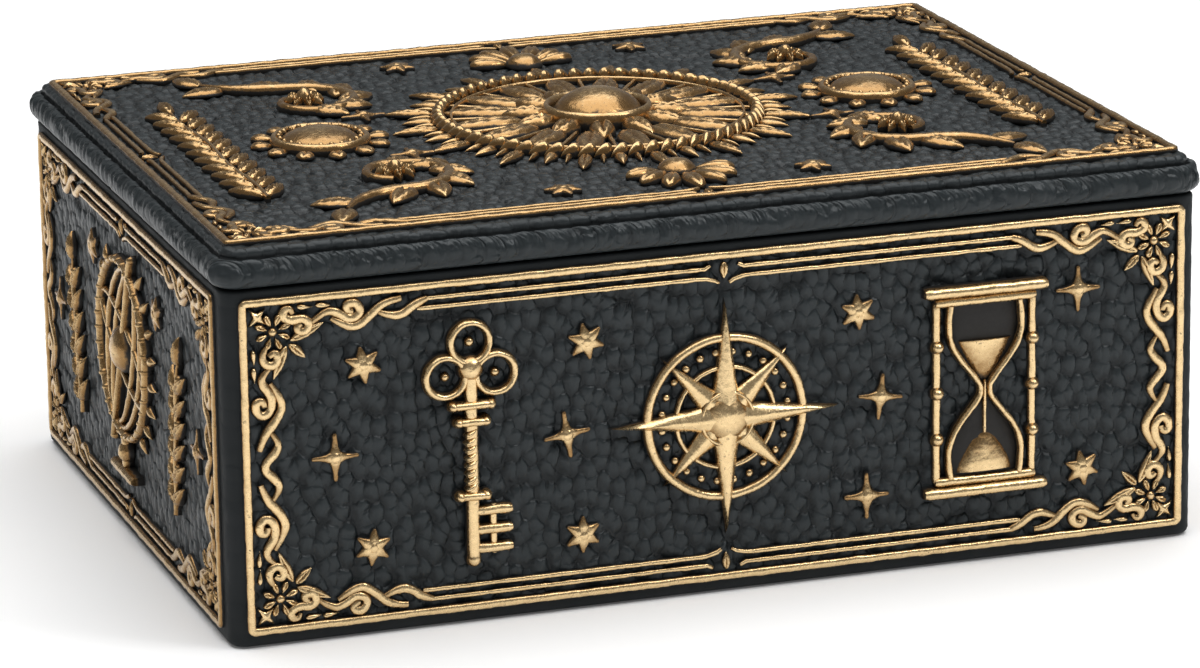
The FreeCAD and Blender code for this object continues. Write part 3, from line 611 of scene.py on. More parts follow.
@dataclass(frozen=True)
class Moulds:
    """Unit forms that are modelled once and copied: each runs from 0 to 1 along u, 1 wide, 1 high."""

    leaf: bpy.types.Object
    petal: bpy.types.Object
    blade: bpy.types.Object
    dome: bpy.types.Object
    bead: bpy.types.Object
    midrib = 0.20
    vein_pairs = 5
    vein_lean = 1.5
    flank = 0.6
    lens_back = 0.4
    cap_back = 0.15

    @classmethod
    def made(cls) -> Moulds:
        """Models every mould."""
        return cls(
            leaf=cls.lens("leaf_mould", widest=0.42, blunt=0.75, groove=0.42, veins=0.10, rings=24),
            petal=cls.lens("petal_mould", widest=0.62, blunt=0.55, groove=0.34, veins=0.0, rings=16),
            blade=cls.lens("blade_mould", widest=0.30, blunt=0.95, groove=0.0, veins=0.0, rings=16),
            dome=cls.cap("dome_mould", segments=48, rings=24),
            bead=cls.cap("bead_mould", segments=18, rings=10),
        )

    @classmethod
    def lens(
        cls, label: str, widest: float, blunt: float, groove: float, veins: float, rings: int
    ) -> bpy.types.Object:
        """A leaf-shaped form with a shallow back, whose crown fades in cut lines and at the margins.

        Args:
            label: the mould's name.
            widest: where along its length it is widest, from 0 to 1.
            blunt: the power of its outline, under 1 for round ends.
            groove: how deep the midrib is cut, as a share of the height.
            veins: how far side veins stand up, as a share of the height.
            rings: how many rings it has along its length.

        Returns:
            The mould.
        """
        Bench.clear()
        turned = (0, math.radians(90), 0)
        bpy.ops.mesh.primitive_uv_sphere_add(segments=24, ring_count=rings, radius=1.0, rotation=turned)
        mould = Bench.added(label)
        points = Bench.points(mould)
        along = np.clip((points[:, 0] + 1) / 2, 0, 1)
        bulge = np.maximum(np.sqrt(np.clip(1 - points[:, 0] ** 2, 0, 1)), TINY)
        across, up = points[:, 1] / bulge, points[:, 2] / bulge
        power = math.log(0.5) / math.log(widest)
        outline = np.sin(math.pi * along**power) ** blunt
        crest = up * (1 - groove * np.exp(-((across / cls.midrib) ** 2)) * outline)
        rows = np.sin(math.tau * (cls.vein_pairs * along - cls.vein_lean * np.abs(across)))
        crest += veins * rows * outline * np.maximum(up, 0)
        Bench.paint(mould, "crown", np.clip(crest, 0, 1))
        crest = outline**cls.flank * np.where(crest < 0, crest * cls.lens_back, crest)
        Bench.reshape(mould, np.column_stack([along, across * outline / 2, crest]))
        return mould

    @classmethod
    def cap(cls, label: str, segments: int, rings: int) -> bpy.types.Object:
        """A dome of radius 1 and height 1 with a shallow back.

        Args:
            label: the mould's name.
            segments: how many faces it has round it.
            rings: how many rings the sphere has that it is shaped from.

        Returns:
            The mould.
        """
        Bench.clear()
        bpy.ops.mesh.primitive_uv_sphere_add(segments=segments, ring_count=rings, radius=1.0)
        mould = Bench.added(label)
        points = Bench.points(mould)
        points[:, 2] = np.where(points[:, 2] < 0, points[:, 2] * cls.cap_back, points[:, 2])
        Bench.reshape(mould, points)
        return mould


@dataclass(frozen=True)
class Arm:
    """The arms of a small star: how many, how long, how wide at the centre, and how they thin outwards."""

    count: int
    reach: float
    width: float
    taper: tuple[Point, ...]


class Relief:
    """One ornament: forms laid on a face, joined and hand-finished like a casting."""

    sunk = 0.5
    bead_limit = 1.6
    star_crown = 0.48
    star_eaves = 0.45
    star_slope = 0.7
    star_splay = 0.08
    line_step = 0.7
    line_end = 0.8
    ripples = ((2.6, 1.0), (0.9, 0.6))
    # painted shade: each face's gilt is dimmed by its own factor, most on the lid and the left side, where
    # less light falls
    painted_face_shades = {Face.FRONT: 0.94, Face.BACK: 0.9, Face.LEFT: 0.74, Face.RIGHT: 0.86, Face.LID: 0.68}
    moulds: Moulds
    gold: bpy.types.Material

    def __init__(self, label: str, face: Face) -> None:
        self.label = label
        self.face = face
        self.parts: list[bpy.types.Object] = []

    def keep(self, part: bpy.types.Object, rise: float, base: float, rubbed: float = 1.0) -> None:
        """Lifts a form that stands on w = 0, and paints its crown unless its mould carries one.

        Args:
            part: the form.
            rise: the height that counts as its crown.
            base: how far it is lifted.
            rubbed: how far the gold is rubbed back on it, from 0 for dark wash to 1.
        """
        points = Bench.points(part)
        if "crown" not in part.data.attributes:
            Bench.paint(part, "crown", np.clip(points[:, 2] / rise, 0, 1) * rubbed)
        points[:, 2] = np.maximum(points[:, 2], -self.sunk) + base
        Bench.reshape(part, points)
        self.parts.append(part)

    def form(
        self,
        mould: bpy.types.Object,
        at: Point,
        angle: float,
        size: Point,
        rise: float,
        base: float = 0.0,
    ) -> None:
        """Lays a copy of a mould.

        Args:
            mould: the unit form.
            at: where its root lies, u and v.
            angle: where it points, in degrees.
            size: its length and width.
            rise: its height.
            base: how far it is lifted.
        """
        turn = Matrix.Translation((*at, 0)) @ Matrix.Rotation(math.radians(angle), 4, "Z")
        self.keep(Bench.copied(mould, turn @ Matrix.Diagonal((*size, rise, 1))), rise, base)

    def leaf(self, at: Point, angle: float, size: Point, rise: float, base: float = 0.0) -> None:
        """A pointed leaf with a midrib."""
        self.form(self.moulds.leaf, at, angle, size, rise, base)

    def petal(self, at: Point, angle: float, size: Point, rise: float, base: float = 0.0) -> None:
        """A petal with a round end."""
        self.form(self.moulds.petal, at, angle, size, rise, base)

    def blade(self, at: Point, angle: float, size: Point, rise: float, base: float = 0.0) -> None:
        """A plain blade that thins towards its end."""
        self.form(self.moulds.blade, at, angle, size, rise, base)

    def dome(self, at: Point, radius: float, rise: float, base: float = 0.0) -> None:
        """A smooth dome.

        Args:
            at: its centre.
            radius: its reach.
            rise: its height.
            base: how far it is lifted.
        """
        place = Matrix.Translation((*at, 0)) @ Matrix.Diagonal((radius, radius, rise, 1))
        mould = self.moulds.bead if radius < self.bead_limit else self.moulds.dome
        self.keep(Bench.copied(mould, place), rise, base)

    def ring(self, at: Point, radius: float, width: float, rise: float, base: float = 0.0) -> None:
        """A half-round ring.

        Args:
            at: its centre.
            radius: how far the middle of its band lies from the centre.
            width: how wide the band is.
            rise: its height.
            base: how far it is lifted.
        """
        Bench.clear()
        sides = max(48, int(radius * 6))
        bpy.ops.mesh.primitive_torus_add(
            major_radius=radius,
            minor_radius=width / 2,
            major_segments=sides,
            minor_segments=14,
            location=(*at, 0),
        )
        part = Bench.added("ring")
        points = Bench.points(part)
        points[:, 2] *= 2 * rise / width
        Bench.reshape(part, points)
        self.keep(part, rise, base)

    def star(
        self,
        at: Point,
        tips: int,
        outer: float,
        waist: float,
        turn: float,
        rise: float,
        base: float = 0.0,
    ) -> None:
        """A faceted star with ridges that run to its tips.

        Args:
            at: its centre.
            tips: how many points it has.
            outer: the reach of the points.
            waist: the reach of the notches between them.
            turn: where the first point lies, in degrees.
            rise: its height.
            base: how far it is lifted.
        """
        Bench.clear()
        bpy.ops.mesh.primitive_cone_add(
            vertices=2 * tips, radius1=outer, radius2=0, depth=1.0, location=(0, 0, 0.5)
        )
        part = Bench.added("star")
        bpy.ops.object.mode_set(mode="EDIT")
        net = bmesh.from_edit_mesh(part.data)
        foot = [vert for vert in net.verts if vert.co.z < 0.5]
        start = max(foot, key=lambda vert: vert.co.y)
        first = math.atan2(start.co.y, start.co.x)
        for vert in net.verts:
            step = (math.atan2(vert.co.y, vert.co.x) - first) / (math.pi / tips)
            vert.select = vert.co.z < 0.5 and round(step) % 2 == 1
        net.select_flush_mode()
        bpy.ops.transform.resize(value=(waist / outer, waist / outer, 1), center_override=(0, 0, 0))
        for face in net.faces:
            face.select = len(face.verts) > 4
        bpy.ops.mesh.extrude_region_move(TRANSFORM_OT_translate={"value": (0, 0, -1)})
        bpy.ops.mesh.select_all(action="SELECT")
        bpy.ops.mesh.subdivide(number_cuts=3)
        bpy.ops.object.mode_set(mode="OBJECT")
        points = Bench.points(part)
        height = np.clip(points[:, 2], 0, 1)
        above_foot = points[:, 2] > -0.1
        points[:, :2] *= (1 - self.star_splay * above_foot)[:, None]
        roof = rise * (self.star_eaves + (1 - self.star_eaves) * height**self.star_slope)
        points[:, 2] = np.where(points[:, 2] < 0, points[:, 2] * self.sunk, roof)
        Bench.reshape(part, points)
        spin = Matrix.Rotation(math.radians(turn) - first, 4, "Z")
        part.data.transform(Matrix.Translation((*at, 0)) @ spin)
        self.keep(part, rise * self.star_crown, base)

    def arms(self, at: Point, arm: Arm, turn: float, rise: float) -> None:
        """A soft star of blunt arms with a raised middle.

        Args:
            at: its centre.
            arm: the shape of its arms.
            turn: where the first arm points, in degrees.
            rise: how high the middle is.
        """
        for index in range(arm.count):
            angle = turn + index * 360 / arm.count
            path = [heading(at, angle, arm.reach * share) for share, _ in arm.taper]
            self.tube(path, [share for _, share in arm.taper], arm.width, rise * 0.9, sharp=0.5)
        self.dome(at, arm.width * 0.5, rise)

    def tube(
        self,
        path: Sequence[Point],
        shares: Sequence[float],
        width: float,
        rise: float,
        base: float = 0.0,
        closed: bool = False,
        bent: bool = True,
        sharp: float = 0.62,
        rubbed: float = 1.0,
    ) -> None:
        """A half-round strand along a path, with its own thickness at each point.

        Args:
            path: the points that steer it, u and v.
            shares: its thickness at each point, as a share of the whole.
            width: how wide it is at its thickest.
            rise: its height there.
            base: how far it is lifted.
            closed: whether it joins up.
            bent: whether it bends smoothly through the points.
            sharp: under 1 for steep flanks and a flatter back.
            rubbed: how far the gold is rubbed back on it, from 0 for dark wash to 1.
        """
        Bench.clear()
        curve = bpy.data.curves.new("strand", "CURVE")
        curve.dimensions = "3D"
        curve.bevel_depth = width / 2
        curve.bevel_resolution = 4
        curve.resolution_u = 5
        curve.use_fill_caps = True
        spline = curve.splines.new("NURBS" if bent else "POLY")
        spline.points.add(len(path) - 1)
        for point, (u, v), share in zip(spline.points, path, shares):
            point.co = (u, v, 0, 1)
            point.radius = share
        spline.use_cyclic_u = closed
        spline.order_u = 3
        spline.use_endpoint_u = not closed
        part = bpy.data.objects.new("strand", curve)
        bpy.context.scene.collection.objects.link(part)
        Bench.pick(part)
        bpy.ops.object.convert(target="MESH")
        part = bpy.context.object
        points = Bench.points(part)
        height = points[:, 2] * 2 / width
        points[:, 2] = np.sign(height) * np.abs(height) ** sharp * rise
        Bench.reshape(part, points)
        self.keep(part, rise, base, rubbed)

    def strand(
        self,
        path: Sequence[Point],
        width: float,
        rise: float,
        ends: Ends = (0.35, 0.35),
        closed: bool = False,
    ) -> None:
        """A bent strand that thins towards its ends.

        Args:
            path: the points that steer it, u and v.
            width: how wide it is at its thickest.
            rise: its height there.
            ends: the thickness of its two ends, as shares of the whole.
            closed: whether it joins up.
        """
        shares = [1.0] * len(path)
        if not closed:
            first, last = ends
            places = [index / (len(path) - 1) for index in range(len(path))]
            shares = [min(1.0, first + (1 - first) * 4 * p, last + (1 - last) * 4 * (1 - p)) for p in places]
        self.tube(path, shares, width, rise, closed=closed)

    def line(
        self,
        path: Sequence[Point],
        width: float,
        rise: float,
        base: float = 0.0,
        closed: bool = False,
    ) -> None:
        """A straight-edged bar with slightly rounded ends.

        Args:
            path: its corners, u and v.
            width: how wide it is.
            rise: its height.
            base: how far it is lifted.
            closed: whether it joins up.
        """
        spaced: list[Point] = []
        corners = list(path) + ([path[0]] if closed else [])
        for (au, av), (bu, bv) in zip(corners, corners[1:]):
            pieces = max(1, round(math.dist((au, av), (bu, bv)) / self.line_step))
            spaced += [(au + (bu - au) * i / pieces, av + (bv - av) * i / pieces) for i in range(pieces)]
        shares = [1.0] * len(spaced)
        if not closed:
            spaced.append(corners[-1])
            shares = [self.line_end] + [1.0] * (len(spaced) - 2) + [self.line_end]
        self.tube(spaced, shares, width, rise, base, closed, bent=False, sharp=0.5)

    def stamp(self, block: bpy.types.Object, place: Matrix) -> None:
        """Lays a copy of a joined block of forms.

        Args:
            block: the forms, already lifted and painted.
            place: where the copy goes, which may mirror it.
        """
        twin = Bench.copied(block, place)
        if place.determinant() < 0:
            twin.data.flip_normals()
        self.parts.append(twin)

    def cast(self, wear: float = 0.26) -> bpy.types.Object:
        """Joins the forms, roughens them by hand and seats them on the face.

        Args:
            wear: how far the surface is knocked about, in millimetres.

        Returns:
            The finished piece.
        """
        piece = Bench.joined(self.parts, f"{self.label}_relief")
        # paints each face's shade into its gilt
        Bench.paint(piece, "painted_face_shade", np.full(len(piece.data.vertices), self.painted_face_shades[self.face]))
        for scale, share in self.ripples:
            ripple = bpy.data.textures.new(f"{self.label}_ripple", "CLOUDS")
            ripple.noise_scale = scale
            settings = {"strength": wear * share, "mid_level": 0.6, "texture_coords": "LOCAL"}
            Bench.modify(piece, "DISPLACE", texture=ripple, **settings)
            bpy.data.textures.remove(ripple)
        piece.data.transform(self.face.place)
        smooth(piece)
        dress(piece, self.gold)
        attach(piece, self.face.body)
        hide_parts(self.label)
        log.info("%s: %d faces", piece.name, len(piece.data.polygons))
        return piece


def heading(at: Point, angle: float, length: float) -> Point:
    """The point at a distance from another, along an angle in degrees."""
    turn = math.radians(angle)
    return at[0] + length * math.cos(turn), at[1] + length * math.sin(turn)


def arc(
    centre: Point, radius: float, start: float, sweep: float, end_radius: float | None = None
) -> list[Point]:
    """Points along an arc, or along a spiral.

    Args:
        centre: the middle of the arc.
        radius: its radius at the start.
        start: where it starts, in degrees.
        sweep: how far it turns, in degrees.
        end_radius: its radius at the end, where that differs.

    Returns:
        Points about every fifteen degrees.
    """
    steps = max(2, round(abs(sweep) / ARC_STEP))
    last = radius if end_radius is None else end_radius
    shares = [index / steps for index in range(steps + 1)]
    return [heading(centre, start + sweep * share, radius + (last - radius) * share) for share in shares]


def rounded(half: float, low: float, high: float, bend: float) -> list[Point]:
    """A rectangle with rounded corners, centred on u = 0.

    Args:
        half: half its length along u.
        low: its lowest v.
        high: its highest v.
        bend: the radius of its corners.

    Returns:
        A closed path.
    """
    path: list[Point] = []
    corners = ((half - bend, high - bend, 0), (bend - half, high - bend, 90))
    corners += ((bend - half, low + bend, 180), (half - bend, low + bend, 270))
    for u, v, start in corners:
        path += arc((u, v), bend, start, 90)
    return path


@dataclass(frozen=True)
class Filigree:
    """Corner ornament, drawn in from a frame's corner: flower, daisy, leaves and curling strands."""

    rise: float = 0.86
    leaf_share: float = 0.85
    strand_width: float = 1.75
    flower_at: Point = (3.2, 3.2)
    flower_reach: float = 2.1
    flower_pinch: float = 2.6
    daisy_at: Point = (5.7, 5.9)
    daisy_eye: float = 0.85
    petal: Point = (2.3, 1.3)
    petals: int = 8
    along_strands: tuple[tuple[Point, ...], ...] = (
        (
            (9.0, 3.1), (8.7, 2.2), (7.6, 2.3), (7.3, 3.6), (8.9, 4.3), (10.6, 4.0),
            (11.8, 4.8), (11.4, 6.2), (10.0, 6.3), (9.6, 5.3), (10.5, 5.0),
        ),
        (
            (11.7, 5.3), (14.3, 3.2), (16.3, 3.5), (18.6, 5.2), (20.5, 4.1),
            (19.8, 2.4), (18.1, 2.3), (17.9, 3.6), (19.1, 3.8),
        ),
        ((15.4, 4.5), (17.5, 5.9), (19.7, 6.5), (22.0, 4.8), (24.3, 2.6), (27.2, 2.4)),
        ((23.2, 4.2), (25.6, 5.3), (27.6, 5.1), (29.7, 3.4), (31.6, 2.85)),
    )
    along_leaves: tuple[tuple[Point, float, Point], ...] = (
        ((9.8, 2.1), 6.0, (2.8, 1.1)),
        ((12.8, 2.1), 6.0, (2.8, 1.1)),
    )
    along_ribs: tuple[tuple[Point, float, Point], ...] = (((8.5, 7.6), -24.0, (6.4, 1.9)),)
    upright_strands: tuple[tuple[Point, ...], ...] = (
        ((4.7, 8.2), (3.8, 9.3), (4.1, 11.1), (5.7, 11.6), (6.6, 10.3), (5.8, 9.1), (4.9, 9.9)),
        (
            (5.1, 11.8), (3.6, 13.0), (3.7, 14.6), (5.2, 16.4), (5.2, 18.6),
            (3.8, 19.9), (2.5, 18.9), (2.5, 17.3), (3.8, 17.1), (4.0, 18.2),
        ),
        ((5.0, 14.3), (6.6, 16.8), (7.0, 18.8), (5.6, 21.0), (3.8, 22.8), (2.9, 25.5)),
    )
    upright_leaves: tuple[tuple[Point, float, Point], ...] = (
        ((2.3, 8.5), 86.0, (2.8, 1.1)),
        ((2.3, 11.5), 86.0, (2.8, 1.1)),
    )
    upright_ribs: tuple[tuple[Point, float, Point], ...] = (
        ((8.3, 8.1), 43.0, (3.8, 1.7)),
        ((7.9, 8.4), 113.0, (6.0, 1.9)),
    )
    ends: Ends = (0.55, 0.7)

    def heart(self) -> bpy.types.Object:
        """Models the flower in the angle and the daisy inside it.

        Returns:
            The block, ready to copy.
        """
        relief = Relief("heart", Face.FRONT)
        waist = self.flower_reach / self.flower_pinch
        relief.star(self.flower_at, 4, self.flower_reach, waist, 45, self.rise)
        for index in range(self.petals):
            angle = (index + 0.5) * 360 / self.petals
            root = heading(self.daisy_at, angle, self.daisy_eye)
            relief.petal(root, angle, self.petal, self.rise)
        relief.dome(self.daisy_at, self.daisy_eye, self.rise)
        return Bench.joined(relief.parts, "heart_block")

    def arm(
        self,
        label: str,
        strands: Sequence[tuple[Point, ...]],
        leaves: Sequence[tuple[Point, float, Point]],
        ribs: Sequence[tuple[Point, float, Point]],
    ) -> bpy.types.Object:
        """Models one arm of the corner.

        Args:
            label: its name.
            strands: the paths of its strands.
            leaves: the root, angle and size of each comma leaf.
            ribs: the same of each leaf with a midrib.

        Returns:
            The block, ready to copy.
        """
        relief = Relief(label, Face.FRONT)
        for path in strands:
            relief.strand(path, self.strand_width, self.rise, self.ends)
        for at, angle, shape in leaves:
            relief.blade(at, angle, shape, self.rise * self.leaf_share)
        for at, angle, shape in ribs:
            relief.leaf(at, angle, shape, self.rise)
        return Bench.joined(relief.parts, f"{label}_block")

    def along(self) -> bpy.types.Object:
        """The curls, comma leaves and strands beside the top or foot line."""
        return self.arm("along", self.along_strands, self.along_leaves, self.along_ribs)

    def upright(self) -> bpy.types.Object:
        """The curls, leaves and strands beside the line of a side."""
        return self.arm("upright", self.upright_strands, self.upright_leaves, self.upright_ribs)


@dataclass(frozen=True)
class Border:
    """A face's frame: its outer line, corner filigree, inner lines and buds."""

    line: float = 1.5
    rise: float = 0.86
    bend: float = 0.6
    thin: float = 0.9
    thin_rise: float = 0.7
    drops: Ends = (2.85, 4.45)
    starts: Ends = (30.6, 29.8)
    tuck: tuple[Point, ...] = ((3.4, 0.0), (2.4, -0.5))
    hook: tuple[Point, ...] = ((5.0, 0.0), (3.2, 0.1), (1.7, 0.5), (0.9, 1.0))
    bud: Point = (3.1, 1.7)
    bud_foot: float = 1.8
    side_strand: tuple[Point, ...] = (
        (4.7, -6.0), (6.3, -4.0), (5.7, -2.4), (3.2, 0.0), (5.7, 2.4), (6.3, 4.0), (4.7, 6.0),
    )
    side_ends: Ends = (0.4, 0.4)

    def build(self, face: Face, blocks: dict[str, bpy.types.Object]) -> bpy.types.Object:
        """Models the border of one face.

        Args:
            face: the face that it goes round.
            blocks: the corner filigree, ready to copy.

        Returns:
            The finished piece.
        """
        relief = Relief(f"{face.value}_border", face)
        half, low, high = face_bounds(relief.label, face)
        inset = self.line / 2
        path = rounded(half - inset, low + inset, high - inset, self.bend)
        relief.line(path, self.line, self.rise, closed=True)
        sides = "along" if face is Face.LID else "upright"
        turned = Matrix(((0, 1, 0, 0), (1, 0, 0, 0), (0, 0, 1, 0), (0, 0, 0, 1)))
        for mirror in (1, -1):
            for flip, v in ((1, low), (-1, high)):
                place = Matrix.Translation((-mirror * half, v, 0)) @ Matrix.Diagonal((mirror, flip, 1, 1))
                relief.stamp(blocks["heart"], place)
                relief.stamp(blocks["along"], place)
                relief.stamp(blocks[sides], place @ turned if face is Face.LID else place)
        for side in (-1, 1):
            for v, inward in ((low, 1), (high, -1)):
                self.lay_lines(relief, half, lambda a, b, s=side, v=v, i=inward: (s * a, v + i * b))
            if face is Face.LID:
                for inward in (-1, 1):
                    self.lay_lines(relief, high, lambda a, b, s=side, i=inward: (i * (half - b), s * a))
            else:
                middle = (low + high) / 2
                path = [(side * (half - u), middle + v) for u, v in self.side_strand]
                relief.strand(path, Filigree.strand_width, self.rise, self.side_ends)
        spots = [((0, low + self.bud_foot), 90), ((0, high - self.bud_foot), -90)]
        if face is Face.LID:
            spots += [((self.bud_foot - half, 0), 0), ((half - self.bud_foot, 0), 180)]
        for at, angle in spots:
            relief.leaf(at, angle, self.bud, self.rise)
        return relief.cast()

    def lay_lines(self, relief: Relief, reach: float, place: Callable[[float, float], Point]) -> None:
        """The two inner lines of half a side, which close round the bud.

        Args:
            relief: the ornament that they belong to.
            reach: half the length of the side.
            place: from a distance off the middle and a drop from the frame's edge to a point.
        """
        for drop, start, end in zip(self.drops, self.starts, (self.tuck, self.hook)):
            path = [place(reach - start, drop)] + [place(u, drop + v) for u, v in end]
            relief.line(path, self.thin, self.thin_rise)


@dataclass(frozen=True)
class Compass:
    """A compass rose over two rings, with a domed boss."""

    reach: float = 20.5
    hoop: float = 13.6
    inner_hoop: float = 8.6
    waist: float = 3.6
    boss: float = 4.3
    beads: int = 24

    def build(self, at: Point) -> bpy.types.Object:
        """Models the compass on the front.

        Args:
            at: its centre.

        Returns:
            The finished piece.
        """
        relief = Relief("front_compass", Face.FRONT)
        relief.ring(at, self.hoop, 1.8, 1.2)
        relief.ring(at, self.inner_hoop, 1.1, 1.0)
        for index in range(self.beads):
            angle = (index + 0.5) * 360 / self.beads
            relief.dome(heading(at, angle, (self.hoop + self.inner_hoop) / 2), 0.75, 0.7)
        relief.star(at, 4, self.hoop + 2.2, self.waist, 45, 2.1)
        relief.star(at, 4, self.reach, self.waist, 90, 2.75)
        relief.ring(at, self.boss + 0.2, 1.0, 1.4, base=0.6)
        relief.dome(at, self.boss, 3.15)
        return relief.cast()


@dataclass(frozen=True)
class Key:
    """A key with a trefoil bow, a collared shank and a notched bit."""

    bow: float = 12.5
    lobe: float = 3.3
    lobe_offset: float = 4.4
    lobe_angles: tuple[float, ...] = (90.0, 195.0, -15.0)
    foot: float = -20.0
    shank: float = 2.4
    collars: tuple[Point, ...] = ((6.4, 3.2), (3.6, 2.3), (-9.0, 2.2))
    twist: Ends = (-7.9, 2.6)
    twists: int = 8
    teeth: tuple[float, ...] = (1.8, 5.0, 8.2)

    def build(self, at: Point) -> bpy.types.Object:
        """Models the key on the front.

        Args:
            at: the point on its shank that its levels are measured from.

        Returns:
            The finished piece.
        """
        relief = Relief("front_key", Face.FRONT)
        u, v = at
        top = (u, v + self.bow)
        for angle in self.lobe_angles:
            centre = heading(top, angle, self.lobe_offset)
            relief.ring(centre, self.lobe, 1.6, 1.75)
            relief.dome(centre, 0.9, 1.1)
        relief.dome(top, self.shank, 2.4)
        relief.line([top, (u, v + self.foot)], self.shank, 1.75)
        for rise, half in self.collars:
            relief.line([(u - half, v + rise), (u + half, v + rise)], 1.7, 2.4)
            for side in (1, -1):
                relief.dome((u + side * half, v + rise), 1.15, 2.5)
        low, high = self.twist
        for index in range(self.twists):
            level = v + low + (high - low) * (index + 0.5) / self.twists
            relief.blade((u - 1.35, level - 0.9), 34, (3.3, 1.5), 2.35)
        for rise in self.teeth:
            level = v + self.foot + rise
            relief.line([(u + 0.4, level), (u + 6.6, level)], 2.0, 1.75)
        web = u + 3.5
        relief.line([(web, v + self.foot + 0.8), (web, v + self.foot + 9.2)], 1.5, 1.2)
        relief.dome((u, v + self.foot), 1.5, 1.9)
        return relief.cast()


@dataclass(frozen=True)
class Sand:
    """A heap of sand: its levels, half its width at both of them, and how its side curves."""

    foot: float
    top: float
    foot_half: float
    top_half: float
    curve: float


@dataclass(frozen=True)
class Hourglass:
    """An hourglass between two plates, with a knopped post at each side."""

    flank: tuple[Point, ...] = (
        (-15.0, 6.3), (-12.5, 6.7), (-9.5, 6.6), (-6.5, 5.4), (-3.6, 3.0), (-1.2, 1.1), (0.0, 0.9),
        (1.2, 1.1), (3.6, 3.0), (6.5, 5.4), (9.5, 6.6), (12.5, 6.7), (15.0, 6.3),
    )
    plate: Point = (17.4, 11.0)
    cap: Point = (15.6, 9.0)
    post: float = 8.6
    knops: tuple[float, ...] = (-8.0, 0.0, 8.0)
    heaps: tuple[Sand, ...] = (Sand(-14.2, -7.4, 5.3, 1.2, 1.5), Sand(1.6, 8.6, 0.9, 5.1, 0.8))
    sand_half: float = 5.3
    sand_rise: float = 1.6
    sand_steps: int = 6

    def build(self, at: Point) -> bpy.types.Object:
        """Models the hourglass on the front.

        Args:
            at: its centre.

        Returns:
            The finished piece.
        """
        relief = Relief("front_hourglass", Face.FRONT)
        u, v = at
        swell = max(half for _, half in self.flank)
        bulb = [half / swell for _, half in self.flank]
        path = [(u, v + rise) for rise, _ in self.flank]
        relief.tube(path, bulb, 2 * swell - 0.6, 0.75, sharp=0.5, rubbed=0.22)
        for side in (1, -1):
            outline = [(u + side * (half - 0.1), v + rise) for rise, half in self.flank]
            relief.tube(outline, [1.0] * len(outline), 1.3, 1.75)
        steps = [index / self.sand_steps for index in range(self.sand_steps + 1)]
        for heap in self.heaps:
            path = [(u, v + heap.foot + (heap.top - heap.foot) * share) for share in steps]
            spread = heap.top_half - heap.foot_half
            shares = [(heap.foot_half + spread * share**heap.curve) / self.sand_half for share in steps]
            relief.tube(path, shares, 2 * self.sand_half, self.sand_rise, sharp=0.6)
        relief.line([(u, v - 7.6), (u, v + 1.6)], 0.8, 1.3)
        for side in (1, -1):
            rise, half = self.plate
            relief.line([(u - half, v + side * rise), (u + half, v + side * rise)], 2.2, 2.4)
            rise, half = self.cap
            relief.line([(u - half, v + side * rise), (u + half, v + side * rise)], 1.8, 1.75)
            centre = u + side * self.post
            relief.line([(centre, v - rise), (centre, v + rise)], 1.5, 1.2)
            for knop in self.knops:
                relief.dome((centre, v + knop), 1.35, 2.3)
        return relief.cast()


@dataclass(frozen=True)
class Laurel:
    """Laurel, as upright sprigs, as a wreath, and as the lid's garlands."""

    leaf: Point = (5.4, 2.4)
    stem: float = 1.0
    low: float = 1.2
    mid: float = 1.75
    wreath_radius: float = 16.5
    wreath_leaves: int = 9
    lean: float = 28.0

    def wreath(self, label: str, face: Face, at: Point) -> bpy.types.Object:
        """Models a wreath about an eight-pointed star.

        Args:
            label: the CAD node that it stands for.
            face: the face that it lies on.
            at: its centre.

        Returns:
            The finished piece.
        """
        relief = Relief(label, face)
        relief.ring(at, self.wreath_radius, self.stem, self.low)
        for tilt, inset in ((self.lean, 0.5), (-self.lean, -0.5)):
            for side in (1, -1):
                for index in range(self.wreath_leaves):
                    angle = -90 + side * (14.0 + 17.6 * index)
                    root = heading(at, angle, self.wreath_radius - inset)
                    relief.leaf(root, angle + side * (90 - tilt), self.leaf, self.mid)
        for side in (1, -1):
            for index in range(self.wreath_leaves):
                angle = -90 + side * (8.0 + 17.6 * index)
                relief.dome(heading(at, angle, self.wreath_radius), 0.95, 1.7)
        relief.star(at, 4, 10.5, 2.6, 45, 2.1)
        relief.star(at, 4, 12.9, 2.6, 90, 2.7)
        relief.dome(at, 3.0, 3.15)
        return relief.cast()

    def sprigs(
        self,
        label: str,
        face: Face,
        places: Sequence[tuple[float, float, float]],
        height: float,
        pairs: int,
        shape: Point,
    ) -> bpy.types.Object:
        """Models upright sprigs.

        Args:
            label: the CAD node that they stand for.
            face: the face that they lie on.
            places: each one's foot and tilt.
            height: how tall they stand.
            pairs: how many pairs of leaves each has.
            shape: a leaf's length and width.

        Returns:
            The finished piece.
        """
        one = Relief("sprig", face)
        sway = [(0.45 * math.sin(index * 1.1), height * index / 12) for index in range(13)]
        one.strand(sway, self.stem, self.low, (0.9, 0.5))
        one.leaf((0.0, height - 1.0), 90, shape, self.mid)
        for index in range(pairs):
            level = 2.0 + (height - 4.0) * index / pairs
            one.leaf((0.2, level), 90 - 38, shape, self.mid)
            one.leaf((-0.2, level), 90 + 38, shape, self.mid)
            side = 1 if index % 2 else -1
            one.dome((side * 1.5, level + 0.35 * height / pairs + 1.6), 0.8, 1.5)
        block = Bench.joined(one.parts, f"{label}_block")
        relief = Relief(label, face)
        for u, v, turn in places:
            relief.stamp(block, Matrix.Translation((u, v, 0)) @ Matrix.Rotation(math.radians(turn), 4, "Z"))
        bpy.data.objects.remove(block)
        return relief.cast()


